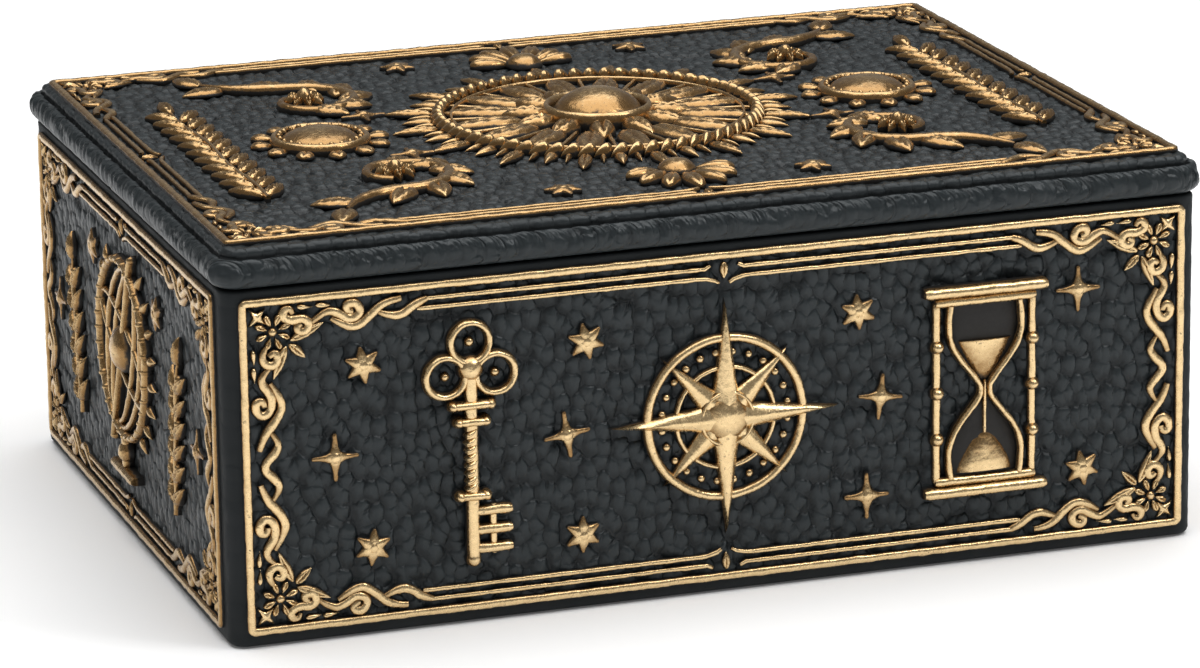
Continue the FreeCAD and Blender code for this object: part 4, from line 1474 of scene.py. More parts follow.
@dataclass(frozen=True)
class Armillary:
    """An armillary sphere of crossing hoops on a turned foot."""

    reach: float = 15.5
    hoop: float = 1.6
    lean: float = 66.0
    studs: int = 36
    rays: int = 24
    ray_limit: float = 0.85
    hoops: tuple[Point, ...] = ((66.0, 12.0), (66.0, 21.0), (-24.0, 9.0))
    oval_steps: int = 48

    def oval(self, at: Point, turn: float, breadth: float) -> list[Point]:
        """The middle line of one crossing hoop.

        Args:
            at: the centre of the sphere.
            turn: where the hoop's long axis points, in degrees.
            breadth: how wide the hoop looks from the front.

        Returns:
            A closed path.
        """
        lean_u, lean_v = math.cos(math.radians(turn)), math.sin(math.radians(turn))
        path = []
        for step in range(self.oval_steps):
            angle = math.tau * step / self.oval_steps
            a, b = self.reach * math.cos(angle), breadth / 2 * math.sin(angle)
            path.append((at[0] + a * lean_u - b * lean_v, at[1] + a * lean_v + b * lean_u))
        return path

    def build(self, at: Point) -> bpy.types.Object:
        """Models the sphere on the left side.

        Args:
            at: its centre.

        Returns:
            The finished piece.
        """
        relief = Relief("left_armillary", Face.LEFT)
        u, v = at
        relief.ring(at, self.reach, self.hoop, 1.75)
        for index in range(self.studs):
            relief.dome(heading(at, index * 360 / self.studs, self.reach), 0.9, 1.95)
        for index in range(self.rays):
            angle = (index + 0.5) * 360 / self.rays
            if abs(math.sin(math.radians(angle))) < self.ray_limit:
                relief.blade(heading(at, angle, self.reach + 1.0), angle, (3.2, 1.9), 1.2)
        for turn, breadth in self.hoops:
            relief.strand(self.oval(at, turn, breadth), 1.3, 1.2, closed=True)
        tips = [heading(at, self.lean + turn, self.reach + 3.6) for turn in (0, 180)]
        relief.line(tips, 1.1, 1.75)
        for tip in tips:
            relief.dome(tip, 0.9, 1.75)
        foot = v - self.reach
        relief.line([(u, foot), (u, foot - 5.6)], 2.6, 1.75)
        relief.line([(u - 7.0, foot - 6.3), (u + 7.0, foot - 6.3)], 1.9, 2.35)
        relief.dome((u, foot - 2.8), 2.2, 2.4)
        relief.dome(at, 4.3, 3.15)
        return relief.cast()


@dataclass(frozen=True)
class Cabochons:
    """Domed cabochons, each in a collar with a ring of petals."""

    radius: float = 7.0
    collar: float = 1.8
    petals: int = 12
    petal: Point = (4.4, 3.4)

    def build(self, label: str, face: Face, centres: Sequence[Point]) -> bpy.types.Object:
        """Models a group of cabochons.

        Args:
            label: the CAD node that they stand for.
            face: the face that they lie on.
            centres: the middle of each.

        Returns:
            The finished piece.
        """
        one = Relief("cabochon", face)
        edge = self.radius + self.collar / 2
        for index in range(self.petals):
            angle = index * 360 / self.petals
            one.petal(heading((0, 0), angle, edge), angle, self.petal, 1.2)
        one.ring((0, 0), edge, self.collar, 1.75)
        beads = self.petals * 2
        for index in range(beads):
            one.dome(heading((0, 0), index * 360 / beads, self.radius + 0.1), 0.62, 1.0, base=0.9)
        one.dome((0, 0), self.radius, 2.85)
        block = Bench.joined(one.parts, f"{label}_block")
        relief = Relief(label, face)
        for u, v in centres:
            relief.stamp(block, Matrix.Translation((u, v, 0)))
        bpy.data.objects.remove(block)
        return relief.cast()


@dataclass(frozen=True)
class Rosette:
    """The lid's rosette: rays round a roped ring, two tiers of petals and a domed boss."""

    hoop: float = 28.0
    rope: float = 2.6
    boss: float = 8.0
    boss_rise: float = 5.35
    rays: int = 16
    outer_petals: int = 16
    inner_petals: int = 12
    twists: int = 64
    wear: float = 0.16

    def build(self) -> bpy.types.Object:
        """Models the rosette in the middle of the lid.

        Returns:
            The finished piece.
        """
        relief = Relief("lid_rosette", Face.LID)
        for index in range(self.rays):
            angle = index * 360 / self.rays
            relief.leaf(heading((0, 0), angle, self.hoop + 0.6), angle, (8.5, 2.6), 1.2)
            angle += 180 / self.rays
            relief.blade(heading((0, 0), angle, self.hoop + 0.6), angle, (5.5, 2.4), 1.1)
            for lean in (-90 / self.rays, 90 / self.rays):
                relief.blade(heading((0, 0), angle + lean, self.hoop + 0.6), angle + lean, (4.4, 1.1), 0.9)
        relief.ring((0, 0), self.hoop - self.rope, 0.8, 1.2)
        for index in range(self.twists):
            angle = index * 360 / self.twists
            root = heading(heading((0, 0), angle, self.hoop), angle + 125, 1.9)
            relief.blade(root, angle + 125 - 180, (3.8, 2.3), 2.3)
        for index in range(self.outer_petals):
            angle = index * 360 / self.outer_petals
            start = self.boss + 5.4
            relief.leaf(heading((0, 0), angle, start), angle, (self.hoop - start - 0.6, 5.2), 1.75)
            angle += 180 / self.outer_petals
            relief.line([heading((0, 0), angle, start), heading((0, 0), angle, self.hoop - 1.4)], 0.8, 0.9)
        for index in range(self.inner_petals):
            angle = (index + 0.5) * 360 / self.inner_petals
            relief.leaf(heading((0, 0), angle, self.boss + 0.5), angle, (8.6, 4.8), 2.4)
        relief.ring((0, 0), self.boss + 0.9, 1.8, 2.85)
        relief.dome((0, 0), self.boss, self.boss_rise)
        return relief.cast(self.wear)


@dataclass(frozen=True)
class Scrolls:
    """The lid's leafy scrolls."""

    radius: float = 10.0
    band: float = 2.9
    shrink: float = 0.76
    tail_bend: float = 14.0
    tail_sweep: float = 66.0
    tail_taper: tuple[float, ...] = (0.3, 0.62, 0.86)
    back_leaves: int = 6
    eye_petals: int = 8
    leaf: Point = (8.2, 4.8)

    def build(self, quarters: Sequence[tuple[float, float, int, int]]) -> bpy.types.Object:
        """Models the scrolls.

        Args:
            quarters: each one's centre and the ways that it is mirrored.

        Returns:
            The finished piece.
        """
        one = Relief("scroll", Face.LID)
        tail_centre = (0.0, self.radius + self.tail_bend)
        tail_end = self.tail_sweep - 90
        path = arc(tail_centre, self.tail_bend, tail_end, -self.tail_sweep)[:-1]
        eye, radius, angle = (0.0, 0.0), self.radius, 90.0
        for _ in range(4):
            path += arc(eye, radius, angle, 90.0)[:-1]
            angle += 90.0
            eye = heading(eye, angle, radius * (1 - self.shrink))
            radius *= self.shrink
        shares = np.linspace(1.0, 0.55, len(path))
        shares[: len(self.tail_taper)] *= self.tail_taper
        one.tube(path, list(shares), self.band, 1.75)
        for index in range(self.back_leaves):
            angle = 96.0 + 33.0 * index
            root = heading((0, 0), angle, self.radius - 0.55 * index - 0.9)
            one.leaf(root, angle - 42.0, (self.leaf[0] + 0.9 - 0.4 * index, self.leaf[1]), 1.6)
        one.leaf(heading(tail_centre, tail_end, self.tail_bend), self.tail_sweep, (7.6, self.leaf[1]), 1.3)
        one.leaf(heading(tail_centre, tail_end - 22.0, self.tail_bend), -10.0, (8.0, self.leaf[1]), 1.3)
        for index in range(self.eye_petals):
            angle = index * 360 / self.eye_petals
            one.leaf(heading(eye, angle, 1.1), angle, (2.6, 1.7), 2.3)
        one.dome(eye, 1.6, 3.1)
        block = Bench.joined(one.parts, "scroll_block")
        relief = Relief("lid_scrolls", Face.LID)
        for u, v, mirror, flip in quarters:
            relief.stamp(block, Matrix.Translation((u, v, 0)) @ Matrix.Diagonal((mirror, flip, 1, 1)))
        bpy.data.objects.remove(block)
        return relief.cast()


@dataclass(frozen=True)
class Palmettes:
    """The lid's palmettes, each a fan of seven leaves."""

    leaves: int = 7
    spread: float = 26.0
    longest: float = 9.5
    width: float = 3.6
    root: float = 3.4

    def build(self, places: Sequence[tuple[float, float, float]]) -> bpy.types.Object:
        """Models the palmettes.

        Args:
            places: each one's root, and where its middle leaf points, in degrees.

        Returns:
            The finished piece.
        """
        relief = Relief("lid_palmettes", Face.LID)
        for u, v, turn in places:
            for index in range(self.leaves):
                off = index - self.leaves // 2
                angle = turn + off * self.spread
                shape = (self.longest - 0.8 * abs(off), self.width)
                relief.petal(heading((u, v), angle, self.root - 0.6), angle, shape, 1.75)
            relief.dome((u, v), self.root, 2.35)
        return relief.cast()


@dataclass(frozen=True)
class Stars:
    """The small stars and sparkles scattered over the faces."""

    star: Arm = Arm(
        6, 3.2, 2.9, ((0.0, 1.0), (0.3, 0.92), (0.55, 0.62), (0.8, 0.36), (0.96, 0.24), (1.0, 0.16))
    )
    sparkle: Arm = Arm(
        4, 4.0, 2.9, ((0.0, 1.0), (0.22, 0.8), (0.42, 0.46), (0.7, 0.32), (0.95, 0.31), (1.0, 0.2))
    )
    rise: float = 1.28

    def build(self, face: Face, stars: Sequence[tuple], sparkles: Sequence[tuple]) -> bpy.types.Object:
        """Models the stars of one face.

        Args:
            face: the face that they lie on.
            stars: centres and turns of the six-pointed ones.
            sparkles: centres and turns of the four-pointed ones.

        Returns:
            The finished piece.
        """
        relief = Relief(f"{face.value}_stars", face)
        for arm, places in ((self.star, stars), (self.sparkle, sparkles)):
            for u, v, turn in places:
                relief.arms((u, v), arm, 90 + turn, self.rise)
        return relief.cast()


STARS: dict[Face, list[tuple]] = {
    Face.FRONT: [(-62, 46, 8), (-61, 15, -6), (-24, 46, 12), (-25, 13, 0), (23.5, 46, 5), (64, 14.5, 10)],
    Face.BACK: [(-62, 16, 8), (-25, 46, -6), (25, 14, 12), (61, 45, 0)],
    Face.LEFT: [(-21, 47, 6), (22, 46, -8)],
    Face.RIGHT: [(-23, 47, 6), (23, 14, -8)],
    Face.LID: [(-22, 47, 6), (22, 47, -8), (-22, -47, 10), (22, -47, 0)],
}
SPARKLES: dict[Face, list[tuple]] = {
    Face.FRONT: [(-67, 31, 0), (-27.5, 30.5, 8), (25, 14, 0), (27.5, 31, -6), (63, 46, 0)],
    Face.BACK: [(-61, 45, 0), (-25, 15, 8), (25, 46, 0), (62, 16, -6)],
    Face.LEFT: [(-46.5, 31, 0), (46.5, 29, 0)],
    Face.RIGHT: [(-46.5, 29, 0), (46.5, 31, 0)],
    Face.LID: [(-38, 14.5, 0), (38, 14.5, 0), (-38, -14.5, 0), (38, -14.5, 0)],
}


@dataclass(frozen=True)
class RingRow:
    """One row of a casting's skin: a rounded rectangle at a level."""

    half_x: float
    half_y: float
    bend: float
    level: float
    grain: float = 0.0
    pucker: float = 0.0


class Casting:
    """A leather-grained shell whose skin is laid in rows round a rounded rectangle."""

    leather: bpy.types.Material
    felt: bpy.types.Material

    @staticmethod
    def grid(label: str, columns: int, rows: int) -> tuple[bpy.types.Object, np.ndarray]:
        """A flat grid, and each vertex's column and row in it.

        Args:
            label: the object's name.
            columns: how many faces wide it is.
            rows: how many faces deep it is.

        Returns:
            The grid object and an array of whole numbers, two a vertex.
        """
        Bench.clear()
        bpy.ops.mesh.primitive_grid_add(x_subdivisions=columns, y_subdivisions=rows, size=1.0)
        piece = Bench.added(label)
        flat = Bench.points(piece)[:, :2]
        spots = np.column_stack([(flat[:, 0] + 0.5) * columns, (flat[:, 1] + 0.5) * rows])
        return piece, np.rint(spots).astype(int)

    @staticmethod
    def close(piece: bpy.types.Object, weld: float = 0.01) -> None:
        """Welds the seam of a skin, and fills each rim that is left open.

        Args:
            piece: the skin, in millimetres.
            weld: how near two vertices lie that become one.
        """
        Bench.pick(piece)
        bpy.ops.object.mode_set(mode="EDIT")
        bpy.ops.mesh.select_all(action="SELECT")
        bpy.ops.mesh.remove_doubles(threshold=weld)
        bpy.ops.mesh.select_all(action="DESELECT")
        bpy.ops.mesh.select_mode(type="EDGE")
        bpy.ops.mesh.select_non_manifold(extend=False)
        bpy.ops.mesh.edge_face_add()
        bpy.ops.mesh.select_mode(type="VERT")
        bpy.ops.mesh.select_all(action="SELECT")
        bpy.ops.mesh.normals_make_consistent(inside=False)
        bpy.ops.object.mode_set(mode="OBJECT")

    @staticmethod
    def stretch(piece: bpy.types.Object, across: np.ndarray, up: np.ndarray) -> None:
        """Paints where each vertex lies in the flat pattern of the leather.

        Args:
            piece: the shell.
            across: its place across the pattern, in millimetres.
            up: its place up the pattern, in millimetres.
        """
        spots = np.column_stack([across, up, np.zeros(len(up))]) * MM
        layer = piece.data.attributes.new("moulded_at", "FLOAT_VECTOR", "POINT")
        layer.data.foreach_set("vector", spots.astype(np.float32).ravel())

    @staticmethod
    def mould(piece: bpy.types.Object, depth: float) -> None:
        """Sinks the creases of the leather grain into the skin.

        Args:
            piece: the shell, in millimetres, with its grain and its place in the pattern painted.
            depth: how deep the creases are, in millimetres.
        """
        tree = bpy.data.node_groups.new("leather_mould", "GeometryNodeTree")
        tree.interface.new_socket("Skin", in_out="INPUT", socket_type="NodeSocketGeometry")
        tree.interface.new_socket("Skin", in_out="OUTPUT", socket_type="NodeSocketGeometry")
        graph = Graph(tree)
        skin = graph.add("NodeGroupInput", {})
        where = graph.add("GeometryNodeInputNamedAttribute", {"data_type": "FLOAT_VECTOR"}, "moulded_at")
        grain = graph.add("GeometryNodeInputNamedAttribute", {"data_type": "FLOAT"}, "grain")
        sink = (GRAIN.height(graph, where) - 1.0) * grain * depth
        normal = graph.add("GeometryNodeInputNormal", {})
        offset = graph.add("ShaderNodeVectorMath", {"operation": "SCALE"}, normal, Scale=sink)
        moved = graph.add("GeometryNodeSetPosition", {}, Geometry=skin, Offset=offset)
        graph.add("NodeGroupOutput", {}, moved)
        Bench.modify(piece, "NODES", node_group=tree)
        bpy.data.node_groups.remove(tree)

    def finish(self, piece: bpy.types.Object, node: str, body: str) -> bpy.types.Object:
        """Puts a shell in its place, in leather.

        Args:
            piece: the shell, in millimetres.
            node: the CAD node that it stands for.
            body: the CAD body that it rides on.

        Returns:
            The finished piece.
        """
        piece.data.transform(Matrix.Scale(MM, 4))
        smooth(piece, 50.0)
        dress(piece, self.leather)
        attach(piece, body)
        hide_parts(node)
        log.info("%s: %d faces", piece.name, len(piece.data.polygons))
        return piece


def skin_ring(row: RingRow, along_x: int, along_y: int, along_bend: int) -> np.ndarray:
    """The points of one row, with the same count on each row.

    Args:
        row: the row's shape.
        along_x: faces on each side that runs along x.
        along_y: faces on each side that runs along y.
        along_bend: faces round each corner.

    Returns:
        Points counter-clockwise from the right side's foot, three numbers each, the first not repeated.
    """
    x, y, bend = row.half_x, row.half_y, row.bend
    spots: list[Point] = []
    sides = (
        ((x, bend - y), (x, y - bend), along_y, (x - bend, y - bend), 0),
        ((x - bend, y), (bend - x, y), along_x, (bend - x, y - bend), 90),
        ((-x, y - bend), (-x, bend - y), along_y, (bend - x, bend - y), 180),
        ((bend - x, -y), (x - bend, -y), along_x, (x - bend, bend - y), 270),
    )
    for (au, av), (bu, bv), count, centre, start in sides:
        spots += [(au + (bu - au) * i / count, av + (bv - av) * i / count) for i in range(count)]
        spots += [heading(centre, start + 90 * i / along_bend, bend) for i in range(along_bend)]
    return np.array([(u, v, row.level) for u, v in spots])


@dataclass
class BaseShell(Casting):
    """The base casting: four grained walls, a smooth tray and the seat of the foot felt."""

    wall: float = 7.0
    floor: float = 6.2
    rest_gap: float = 0.2
    corner: float = 3.0
    foot_edge: float = 1.0
    rim: float = 0.5
    tray_corner: float = 4.0
    felt_margin: float = 6.0
    felt_top: float = 1.0
    pitch: float = 0.72
    along_bend: int = 7
    grain_depth: float = GRAIN.depth
    frame_cover: float = 0.8
    plain_grain: float = 0.16
    plain_painted_shade: float = 0.9

    def rows(self) -> list[RingRow]:
        """Lists the skin's rows.

        Returns:
            The rows, from the felt seat round the outside and into the tray.
        """
        x, y, top = BASE_HIGH.x, BASE_HIGH.y, BASE_HIGH.z
        seat = self.felt_margin
        rows = [
            RingRow(x - seat, y - seat, 0.3, self.felt_top),
            RingRow(x - seat, y - seat, 0.3, self.rest_gap),
        ]
        for angle in (0, 30, 60):
            turn = math.radians(angle)
            inset, lift = self.foot_edge * (1 - math.sin(turn)), self.foot_edge * (1 - math.cos(turn))
            rows.append(RingRow(x - inset, y - inset, self.corner - inset * 0.9, self.rest_gap + lift))
        start, end = self.rest_gap + self.foot_edge, top - self.rim
        count = round((end - start) / self.pitch)
        for index in range(count + 1):
            level = start + (end - start) * index / count
            fade = min(1.0, (level - start) / 1.5, (end - level) / 1.0)
            rows.append(RingRow(x, y, self.corner, level, max(0.0, fade)))
        for angle in (30, 60, 90):
            turn = math.radians(angle)
            inset = self.rim * (1 - math.cos(turn))
            rows.append(RingRow(x - inset, y - inset, self.corner - inset, end + self.rim * math.sin(turn)))
        for angle in (90, 60, 30, 0):
            turn = math.radians(angle)
            inset = self.wall - self.rim * (1 - math.cos(turn))
            rows.append(RingRow(x - inset, y - inset, self.tray_corner, end + self.rim * math.sin(turn)))
        inner = self.wall
        for level in (45.0, 30.0, 15.0, self.floor + 0.8):
            rows.append(RingRow(x - inner, y - inner, self.tray_corner, level))
        rows.append(RingRow(x - inner - 0.25, y - inner - 0.25, self.tray_corner, self.floor + 0.25))
        rows.append(RingRow(x - inner - 0.8, y - inner - 0.8, self.tray_corner, self.floor))
        return rows

    def build(self) -> bpy.types.Object:
        """Models the shell.

        Returns:
            The finished piece.
        """
        rows = self.rows()
        along_x = round(2 * (BASE_HIGH.x - self.corner) / self.pitch)
        along_y = round(2 * (BASE_HIGH.y - self.corner) / self.pitch)
        around = 2 * (along_x + along_y) + 4 * self.along_bend
        piece, spots = self.grid("base_casting", around, len(rows) - 1)
        rings = np.array([skin_ring(row, along_x, along_y, self.along_bend) for row in rows])
        Bench.reshape(piece, rings[spots[:, 1], spots[:, 0] % around])
        points = Bench.points(piece)
        half_x, low, high = face_bounds("front_border", Face.FRONT)
        half_y, _, _ = face_bounds("left_border", Face.LEFT)
        beyond_x = np.abs(points[:, 0]) > half_x - self.frame_cover
        beyond_y = np.abs(points[:, 1]) > half_y - self.frame_cover
        plain = beyond_x & beyond_y
        plain |= (points[:, 2] > high - self.frame_cover) | (points[:, 2] < low + self.frame_cover)
        grain = np.array([row.grain for row in rows])[spots[:, 1]]
        Bench.paint(piece, "grain", grain * np.where(plain, self.plain_grain, 1.0))
        # painted shade: the plain strips outside the frames, at the corners and above and below the frames,
        # are painted darker and rougher
        Bench.paint(piece, "painted_shade", np.where(plain, self.plain_painted_shade, 0.0))
        self.stretch(piece, points[:, 0] + points[:, 1], points[:, 2])
        self.close(piece)
        self.mould(piece, self.grain_depth)
        return self.finish(piece, "base_shell", "base")


@dataclass
class LidShell(Casting):
    """The lid casting: a grained top, a creased and padded rim, and the lip that drops into the base."""

    corner: float = 5.0
    height: float = 6.4
    foot_round: float = 2.2
    edge: tuple[Point, ...] = (
        (5.2, 0.0), (4.5, 0.0), (3.9, 0.0), (3.4, 0.01), (3.05, 0.08), (2.75, 0.20), (2.50, 0.38),
        (2.32, 0.60), (2.22, 0.85), (2.22, 1.10), (2.34, 1.45), (2.20, 1.95),
    )
    roll: tuple[Point, ...] = (
        (1.88, 1.62), (1.55, 1.42), (1.20, 1.44), (0.88, 1.58), (0.60, 1.80), (0.38, 2.10),
        (0.20, 2.45), (0.08, 2.85), (0.01, 3.30), (0.0, 3.75),
    )
    dark_from: float = 1.2
    edge_painted_shade: float = 0.25
    flat: float = 6.0
    lip_inset: float = 9.3
    lip_width: float = 4.0
    lip_drop: float = 5.0
    lip_bend: float = 3.2
    pitch: float = 0.7
    grain_depth: float = GRAIN.depth
    top_grain: float = 1.25
    edge_grain: float = 0.6
    roll_grain: float = 0.5
    roll_stretch: float = 0.85
    pucker_depth: float = 0.55
    pucker_fade: float = 3.9
    fold_width: float = 1.8
    fold_drop: float = 0.4
    waves: tuple[float, ...] = (7.0, 4.6, 3.8, 5.6)
    seed: int = 7

    def rows(self) -> list[RingRow]:
        """Lists the rim's rows.

        Returns:
            The rows, from the flat top over edge and crease, round the roll and into the lip.
        """
        x, y, top, foot = LID_HIGH.x, LID_HIGH.y, LID_HIGH.z, LID_HIGH.z - self.height
        rows = []
        for inset, drop in self.edge:
            grain = 1.0 if inset > 4 else self.edge_grain
            rows.append(RingRow(x - inset, y - inset, self.corner - 0.9 * min(inset, 4.5), top - drop, grain))
        rounds = []
        for angle in (0, 18, 36, 54, 72, 90):
            turn = math.radians(angle)
            sunk = self.foot_round * (1 - math.sin(turn))
            rounds.append((self.foot_round * (1 - math.cos(turn)), self.height - sunk))
        for inset, drop in (*self.roll, *rounds):
            pucker = min(1.0, max(0.0, (self.height - drop) / self.pucker_fade) ** 1.5)
            grain = self.roll_grain * min(1.0, self.height - drop)
            rows.append(RingRow(x - inset, y - inset, self.corner - 0.9 * inset, top - drop, grain, pucker))
        outer, inner = self.lip_inset, self.lip_inset + self.lip_width
        for inset, level in ((outer - 0.4, foot), (outer, foot - 0.4), (outer, foot - self.lip_drop + 0.5)):
            rows.append(RingRow(x - inset, y - inset, self.lip_bend, level))
        for inset in (outer + 0.5, inner - 0.5):
            rows.append(RingRow(x - inset, y - inset, self.lip_bend, foot - self.lip_drop))
        rows.append(RingRow(x - inner, y - inner, 1.0, foot - self.lip_drop + 0.5))
        rows.append(RingRow(x - inner, y - inner, 1.0, foot))
        return rows

    def pucker(self, points: np.ndarray, share: np.ndarray) -> np.ndarray:
        """Draws the padded rim in by irregular puckers.

        Args:
            points: the skin's vertices.
            share: how much of the pucker each vertex takes.

        Returns:
            The moved vertices.
        """
        chance = np.random.default_rng(self.seed)
        angle = np.arctan2(points[:, 1] / LID_HIGH.y, points[:, 0] / LID_HIGH.x)
        around = points[:, 0] - points[:, 1] * np.sign(np.sin(angle)) + 260 * np.sign(np.sin(angle))
        fold = np.zeros(len(points))
        for wave in self.waves:
            lean = chance.uniform(-0.5, 0.5)
            drift = 2.2 * np.sin(around / chance.uniform(17, 29) + chance.uniform(0, 6))
            fold += np.sin((around + drift + lean * points[:, 2]) * math.tau / wave + chance.uniform(0, 6))
        dent = np.clip(np.abs(fold) / self.fold_width, 0, 1) - 1
        out = points * np.array([1.0, 1.0, 0.0])
        core = np.clip(out, [7 - LID_HIGH.x, 7 - LID_HIGH.y, 0], [LID_HIGH.x - 7, LID_HIGH.y - 7, 0])
        way = out - core
        way /= np.maximum(np.linalg.norm(way, axis=1, keepdims=True), TINY)
        way[:, 2] = self.fold_drop
        return points + way * (dent * share * self.pucker_depth)[:, None]

    def build(self) -> bpy.types.Object:
        """Models the shell.

        Returns:
            The finished piece.
        """
        rows = self.rows()
        depth = len(rows)
        inside_x, inside_y = LID_HIGH.x - self.flat, LID_HIGH.y - self.flat
        across, down = round(2 * inside_x / self.pitch), round(2 * inside_y / self.pitch)
        piece, spots = self.grid("lid_casting", across + 2 * depth, down + 2 * depth)
        i, j = spots[:, 0] - depth, spots[:, 1] - depth
        u = np.clip(i, 0, across) / across * 2 * inside_x - inside_x
        v = np.clip(j, 0, down) / down * 2 * inside_y - inside_y
        out_x = np.maximum(-i, 0) + np.maximum(i - across, 0)
        out_y = np.maximum(-j, 0) + np.maximum(j - down, 0)
        ring = np.maximum(out_x, out_y)
        table = np.array([astuple(row) for row in (RingRow(0, 0, 0, LID_HIGH.z, self.top_grain), *rows)])
        half_x, half_y, bend, level, grain, pucker = table[ring].T
        side_x, side_y = np.sign(i - across / 2), np.sign(j - down / 2)
        turn_x = np.where(out_x == ring, 1.0, out_x / np.maximum(ring, 1))
        turn_y = np.where(out_y == ring, 1.0, out_y / np.maximum(ring, 1))
        angle = np.where(out_x >= out_y, turn_y * 45, 90 - turn_x * 45) * math.pi / 180
        angle = np.where(out_y == 0, 0.0, np.where(out_x == 0, math.pi / 2, angle))
        stretch_x = np.where(out_x == 0, u / inside_x * (half_x - bend), side_x * (half_x - bend))
        stretch_y = np.where(out_y == 0, v / inside_y * (half_y - bend), side_y * (half_y - bend))
        rim_x = stretch_x + np.where(out_x == 0, 0, side_x * bend * np.cos(angle))
        rim_y = stretch_y + np.where(out_y == 0, 0, side_y * bend * np.sin(angle))
        flat_top = ring == 0
        points = np.column_stack([np.where(flat_top, u, rim_x), np.where(flat_top, v, rim_y), level])
        on_roll = ring > len(self.edge)
        across = np.where(on_roll, points[:, 0] + points[:, 1], points[:, 0])
        self.stretch(piece, across, np.where(on_roll, level * self.roll_stretch, points[:, 1]))
        # painted shade: the crease between the flat top and the roll is painted dark, and the rounded edge
        # above it a little darker
        in_crease = (ring <= len(self.edge) + 1) & (level < LID_HIGH.z - self.dark_from)
        on_edge = (ring <= len(self.edge)) & (ring > 2)
        Bench.paint(piece, "painted_shade", np.where(in_crease, 1.0, self.edge_painted_shade * on_edge))
        Bench.paint(piece, "pucker", pucker)
        points = self.pucker(points, pucker)
        Bench.reshape(piece, points)
        Bench.paint(piece, "grain", grain)
        self.close(piece)
        self.mould(piece, self.grain_depth)
        return self.finish(piece, "lid_shell", "lid")


@dataclass(frozen=True)
class Felts:
    """The lining of the tray and the pad under the base, cut flat and laid in."""

    bend: float = 3.7
    pad_bend: float = 0.3
    soft: float = 0.25
    pitch: float = 1.6
    along_bend: int = 6

    def build(self, node: str, flat: tuple[float, float]) -> bpy.types.Object:
        """Models one felt.

        Args:
            node: the CAD node that it stands for.
            flat: the size that it is cut to, in metres; not used.

        Returns:
            The finished piece.
        """
        low, high = box_mm(node)
        bend = self.bend if node == "tray_lining" else self.pad_bend
        soft = self.soft
        rows = [
            RingRow(high.x - soft, high.y - soft, bend, low.z),
            RingRow(high.x, high.y, bend, low.z + soft),
            RingRow(high.x, high.y, bend, high.z - soft),
            RingRow(high.x - soft, high.y - soft, bend, high.z),
        ]
        along_x, along_y = round(2 * high.x / self.pitch), round(2 * high.y / self.pitch)
        around = 2 * (along_x + along_y) + 4 * self.along_bend
        piece, spots = Casting.grid(f"{node}_cloth", around, len(rows) - 1)
        rings = np.array([skin_ring(row, along_x, along_y, self.along_bend) for row in rows])
        Bench.reshape(piece, rings[spots[:, 1], spots[:, 0] % around])
        Casting.close(piece)
        piece.data.transform(Matrix.Scale(MM, 4))
        smooth(piece, 50.0)
        dress(piece, Casting.felt)
        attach(piece, "base")
        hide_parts(node)
        log.info("%s: %d faces", piece.name, len(piece.data.polygons))
        return piece


@dataclass(frozen=True)
class Studio:
    """A pale floor, soft lights and the camera at the photograph's viewing angle."""

    camera_at: tuple[float, float, float] = (-0.314318, -0.934069, 0.309043)
    azimuth: float = 18.59168
    elevation: float = 15.93037
    roll: float = -0.80741
    focal_pixels: float = 5854.299
    frame_pixels: float = 1200.0
    sensor: float = 36.0
    floor_size: float = 8.0
    floor_tone: float = 0.96
    floor_glow: float = 0.06
    room_light: float = 0.22
    aim_height: float = 0.03

    def floor(self) -> None:
        """The pale floor."""
        Bench.clear()
        bpy.ops.mesh.primitive_plane_add(size=self.floor_size)
        floor = Bench.added("studio_floor")
        shade, _, surface = new_material("studio_paper")
        surface.inputs["Base Color"].default_value = (self.floor_tone, self.floor_tone, self.floor_tone, 1)
        surface.inputs["Roughness"].default_value = 0.9
        surface.inputs["Specular IOR Level"].default_value = 0.1
        surface.inputs["Emission Color"].default_value = (1, 1, 1, 1)
        surface.inputs["Emission Strength"].default_value = self.floor_glow
        dress(floor, shade)

    def lights(self) -> None:
        """A bright room and three soft panels."""
        world = bpy.data.worlds.new("studio_room")
        world.use_nodes = True
        room = world.node_tree.nodes["Background"]
        room.inputs["Color"].default_value = (1, 1, 1, 1)
        room.inputs["Strength"].default_value = self.room_light
        bpy.context.scene.world = world
        panels = (
            ("overhead_panel", (0.0, 0.05, 1.15), 1.4, 18.0),
            ("key_panel", (0.55, -0.45, 0.85), 0.28, 2.4),
            ("left_panel", (-1.1, -0.5, 1.0), 0.5, 0.15),
        )
        for name, spot, width, power in panels:
            lamp = bpy.data.lights.new(name, "AREA")
            lamp.energy = power
            lamp.size = width
            panel = bpy.data.objects.new(name, lamp)
            bpy.context.scene.collection.objects.link(panel)
            panel.location = spot
            aim = Vector((0, 0, self.aim_height)) - Vector(spot)
            panel.rotation_euler = aim.to_track_quat("-Z", "Y").to_euler()

    def camera(self) -> None:
        """The camera, fitted to the photograph."""
        turn, tip, lean = (math.radians(angle) for angle in (self.azimuth, self.elevation, self.roll))
        ahead = Vector((math.sin(turn) * math.cos(tip), math.cos(turn) * math.cos(tip), -math.sin(tip)))
        level = Vector((math.cos(turn), -math.sin(turn), 0))
        above = level.cross(ahead)
        right = math.cos(lean) * level + math.sin(lean) * above
        up = math.cos(lean) * above - math.sin(lean) * level
        lens = bpy.data.cameras.new("photo_camera")
        lens.sensor_width = self.sensor
        lens.lens = self.focal_pixels / self.frame_pixels * self.sensor
        camera = bpy.data.objects.new("photo_camera", lens)
        bpy.context.scene.collection.objects.link(camera)
        axes = Matrix((right, up, -ahead)).transposed().to_4x4()
        camera.matrix_world = Matrix.Translation(self.camera_at) @ axes
        bpy.context.scene.camera = camera
        bpy.context.scene.view_settings.view_transform = "Standard"

    def build(self) -> None:
        """Sets up the whole studio."""
        self.floor()
        self.lights()
        self.camera()


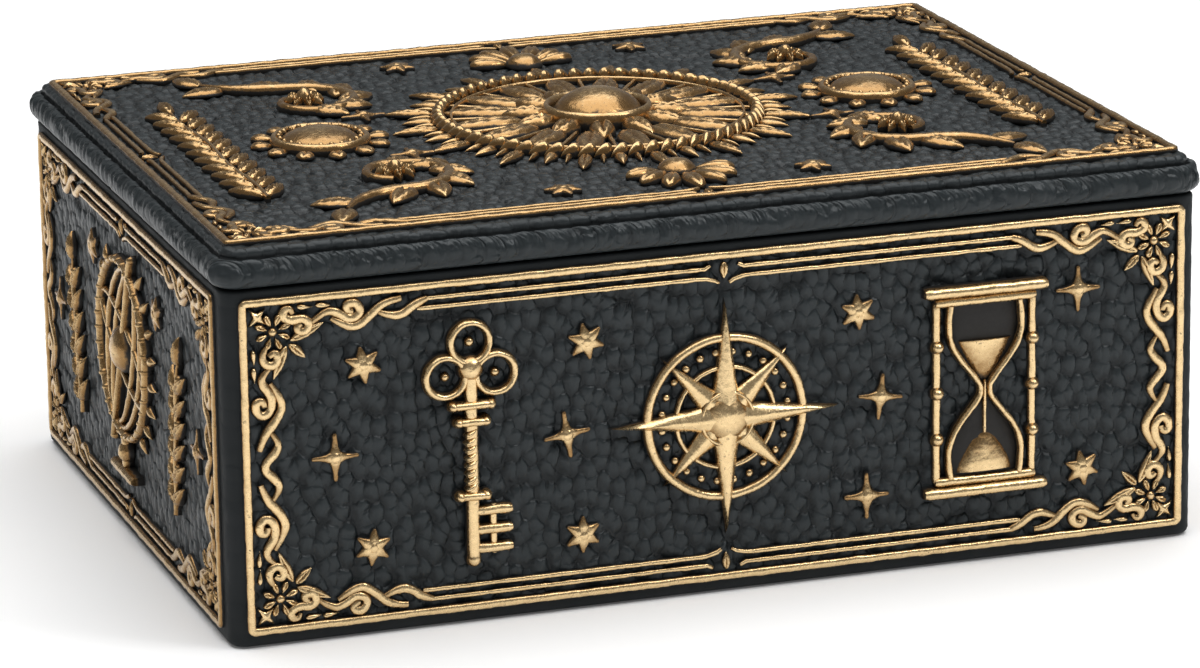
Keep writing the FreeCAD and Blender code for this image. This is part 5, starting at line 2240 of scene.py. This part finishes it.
def build_walls(blocks: dict[str, bpy.types.Object]) -> None:
    """Models the relief of the four walls.

    Args:
        blocks: the corner filigree, ready to copy.
    """
    _, low, high = face_bounds("front_border", Face.FRONT)
    middle = (low + high) / 2
    border, laurel = Border(), Laurel()
    for face in (Face.FRONT, Face.BACK, Face.LEFT, Face.RIGHT):
        border.build(face, blocks)
        Stars().build(face, STARS[face], SPARKLES[face])
    Compass().build((0, middle))
    Key().build((-44, middle + 0.6))
    Hourglass().build((46, middle))
    laurel.wreath("back_wreath", Face.BACK, (0, middle))
    laurel.wreath("right_wreath", Face.RIGHT, (0, middle))
    Cabochons().build("back_cabochons", Face.BACK, [(-46, middle), (46, middle)])
    Armillary().build((0, middle + 3.6))
    sprigs = [(-32, 14, 8), (32, 14, -8)]
    for name, face in (("left_sprigs", Face.LEFT), ("right_sprigs", Face.RIGHT)):
        laurel.sprigs(name, face, sprigs, 28, 6, (5.2, 2.4))


def build_lid_relief(blocks: dict[str, bpy.types.Object]) -> None:
    """Models the relief of the lid.

    Args:
        blocks: the corner filigree, ready to copy.
    """
    Border().build(Face.LID, blocks)
    Stars().build(Face.LID, STARS[Face.LID], SPARKLES[Face.LID])
    Rosette().build()
    Cabochons().build("lid_cabochons", Face.LID, [(-50, 0), (50, 0)])
    Scrolls().build([(46, 28, 1, 1), (-46, 28, -1, 1), (46, -28, 1, -1), (-46, -28, -1, -1)])
    Palmettes().build([(0, 41, 90), (0, -41, -90)])
    Laurel().sprigs("lid_garlands", Face.LID, [(-69, -35, 0), (69, -35, 0)], 64, 11, (7.5, 3.0))


def record_size() -> None:
    """Updates the view layer once the box is dressed."""
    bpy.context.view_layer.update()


def main() -> None:
    """Builds the trinket box and its studio."""
    logging.basicConfig(level=logging.INFO, format="%(name)s %(message)s")
    Casting.leather = Leather().material()
    Casting.felt = Felt().material()
    Relief.gold = Gold().material()
    Relief.moulds = Moulds.made()
    BaseShell().build()
    LidShell().build()
    Felts().build("tray_lining", (0.1554, 0.1124))
    Felts().build("underside_felt", (0.158, 0.115))
    filigree = Filigree()
    blocks = {"heart": filigree.heart(), "along": filigree.along(), "upright": filigree.upright()}
    build_walls(blocks)
    build_lid_relief(blocks)
    for block in (*blocks.values(), *vars(Relief.moulds).values()):
        bpy.data.objects.remove(block)
    record_size()
    Studio().build()


if __name__ == "__main__":
    main()
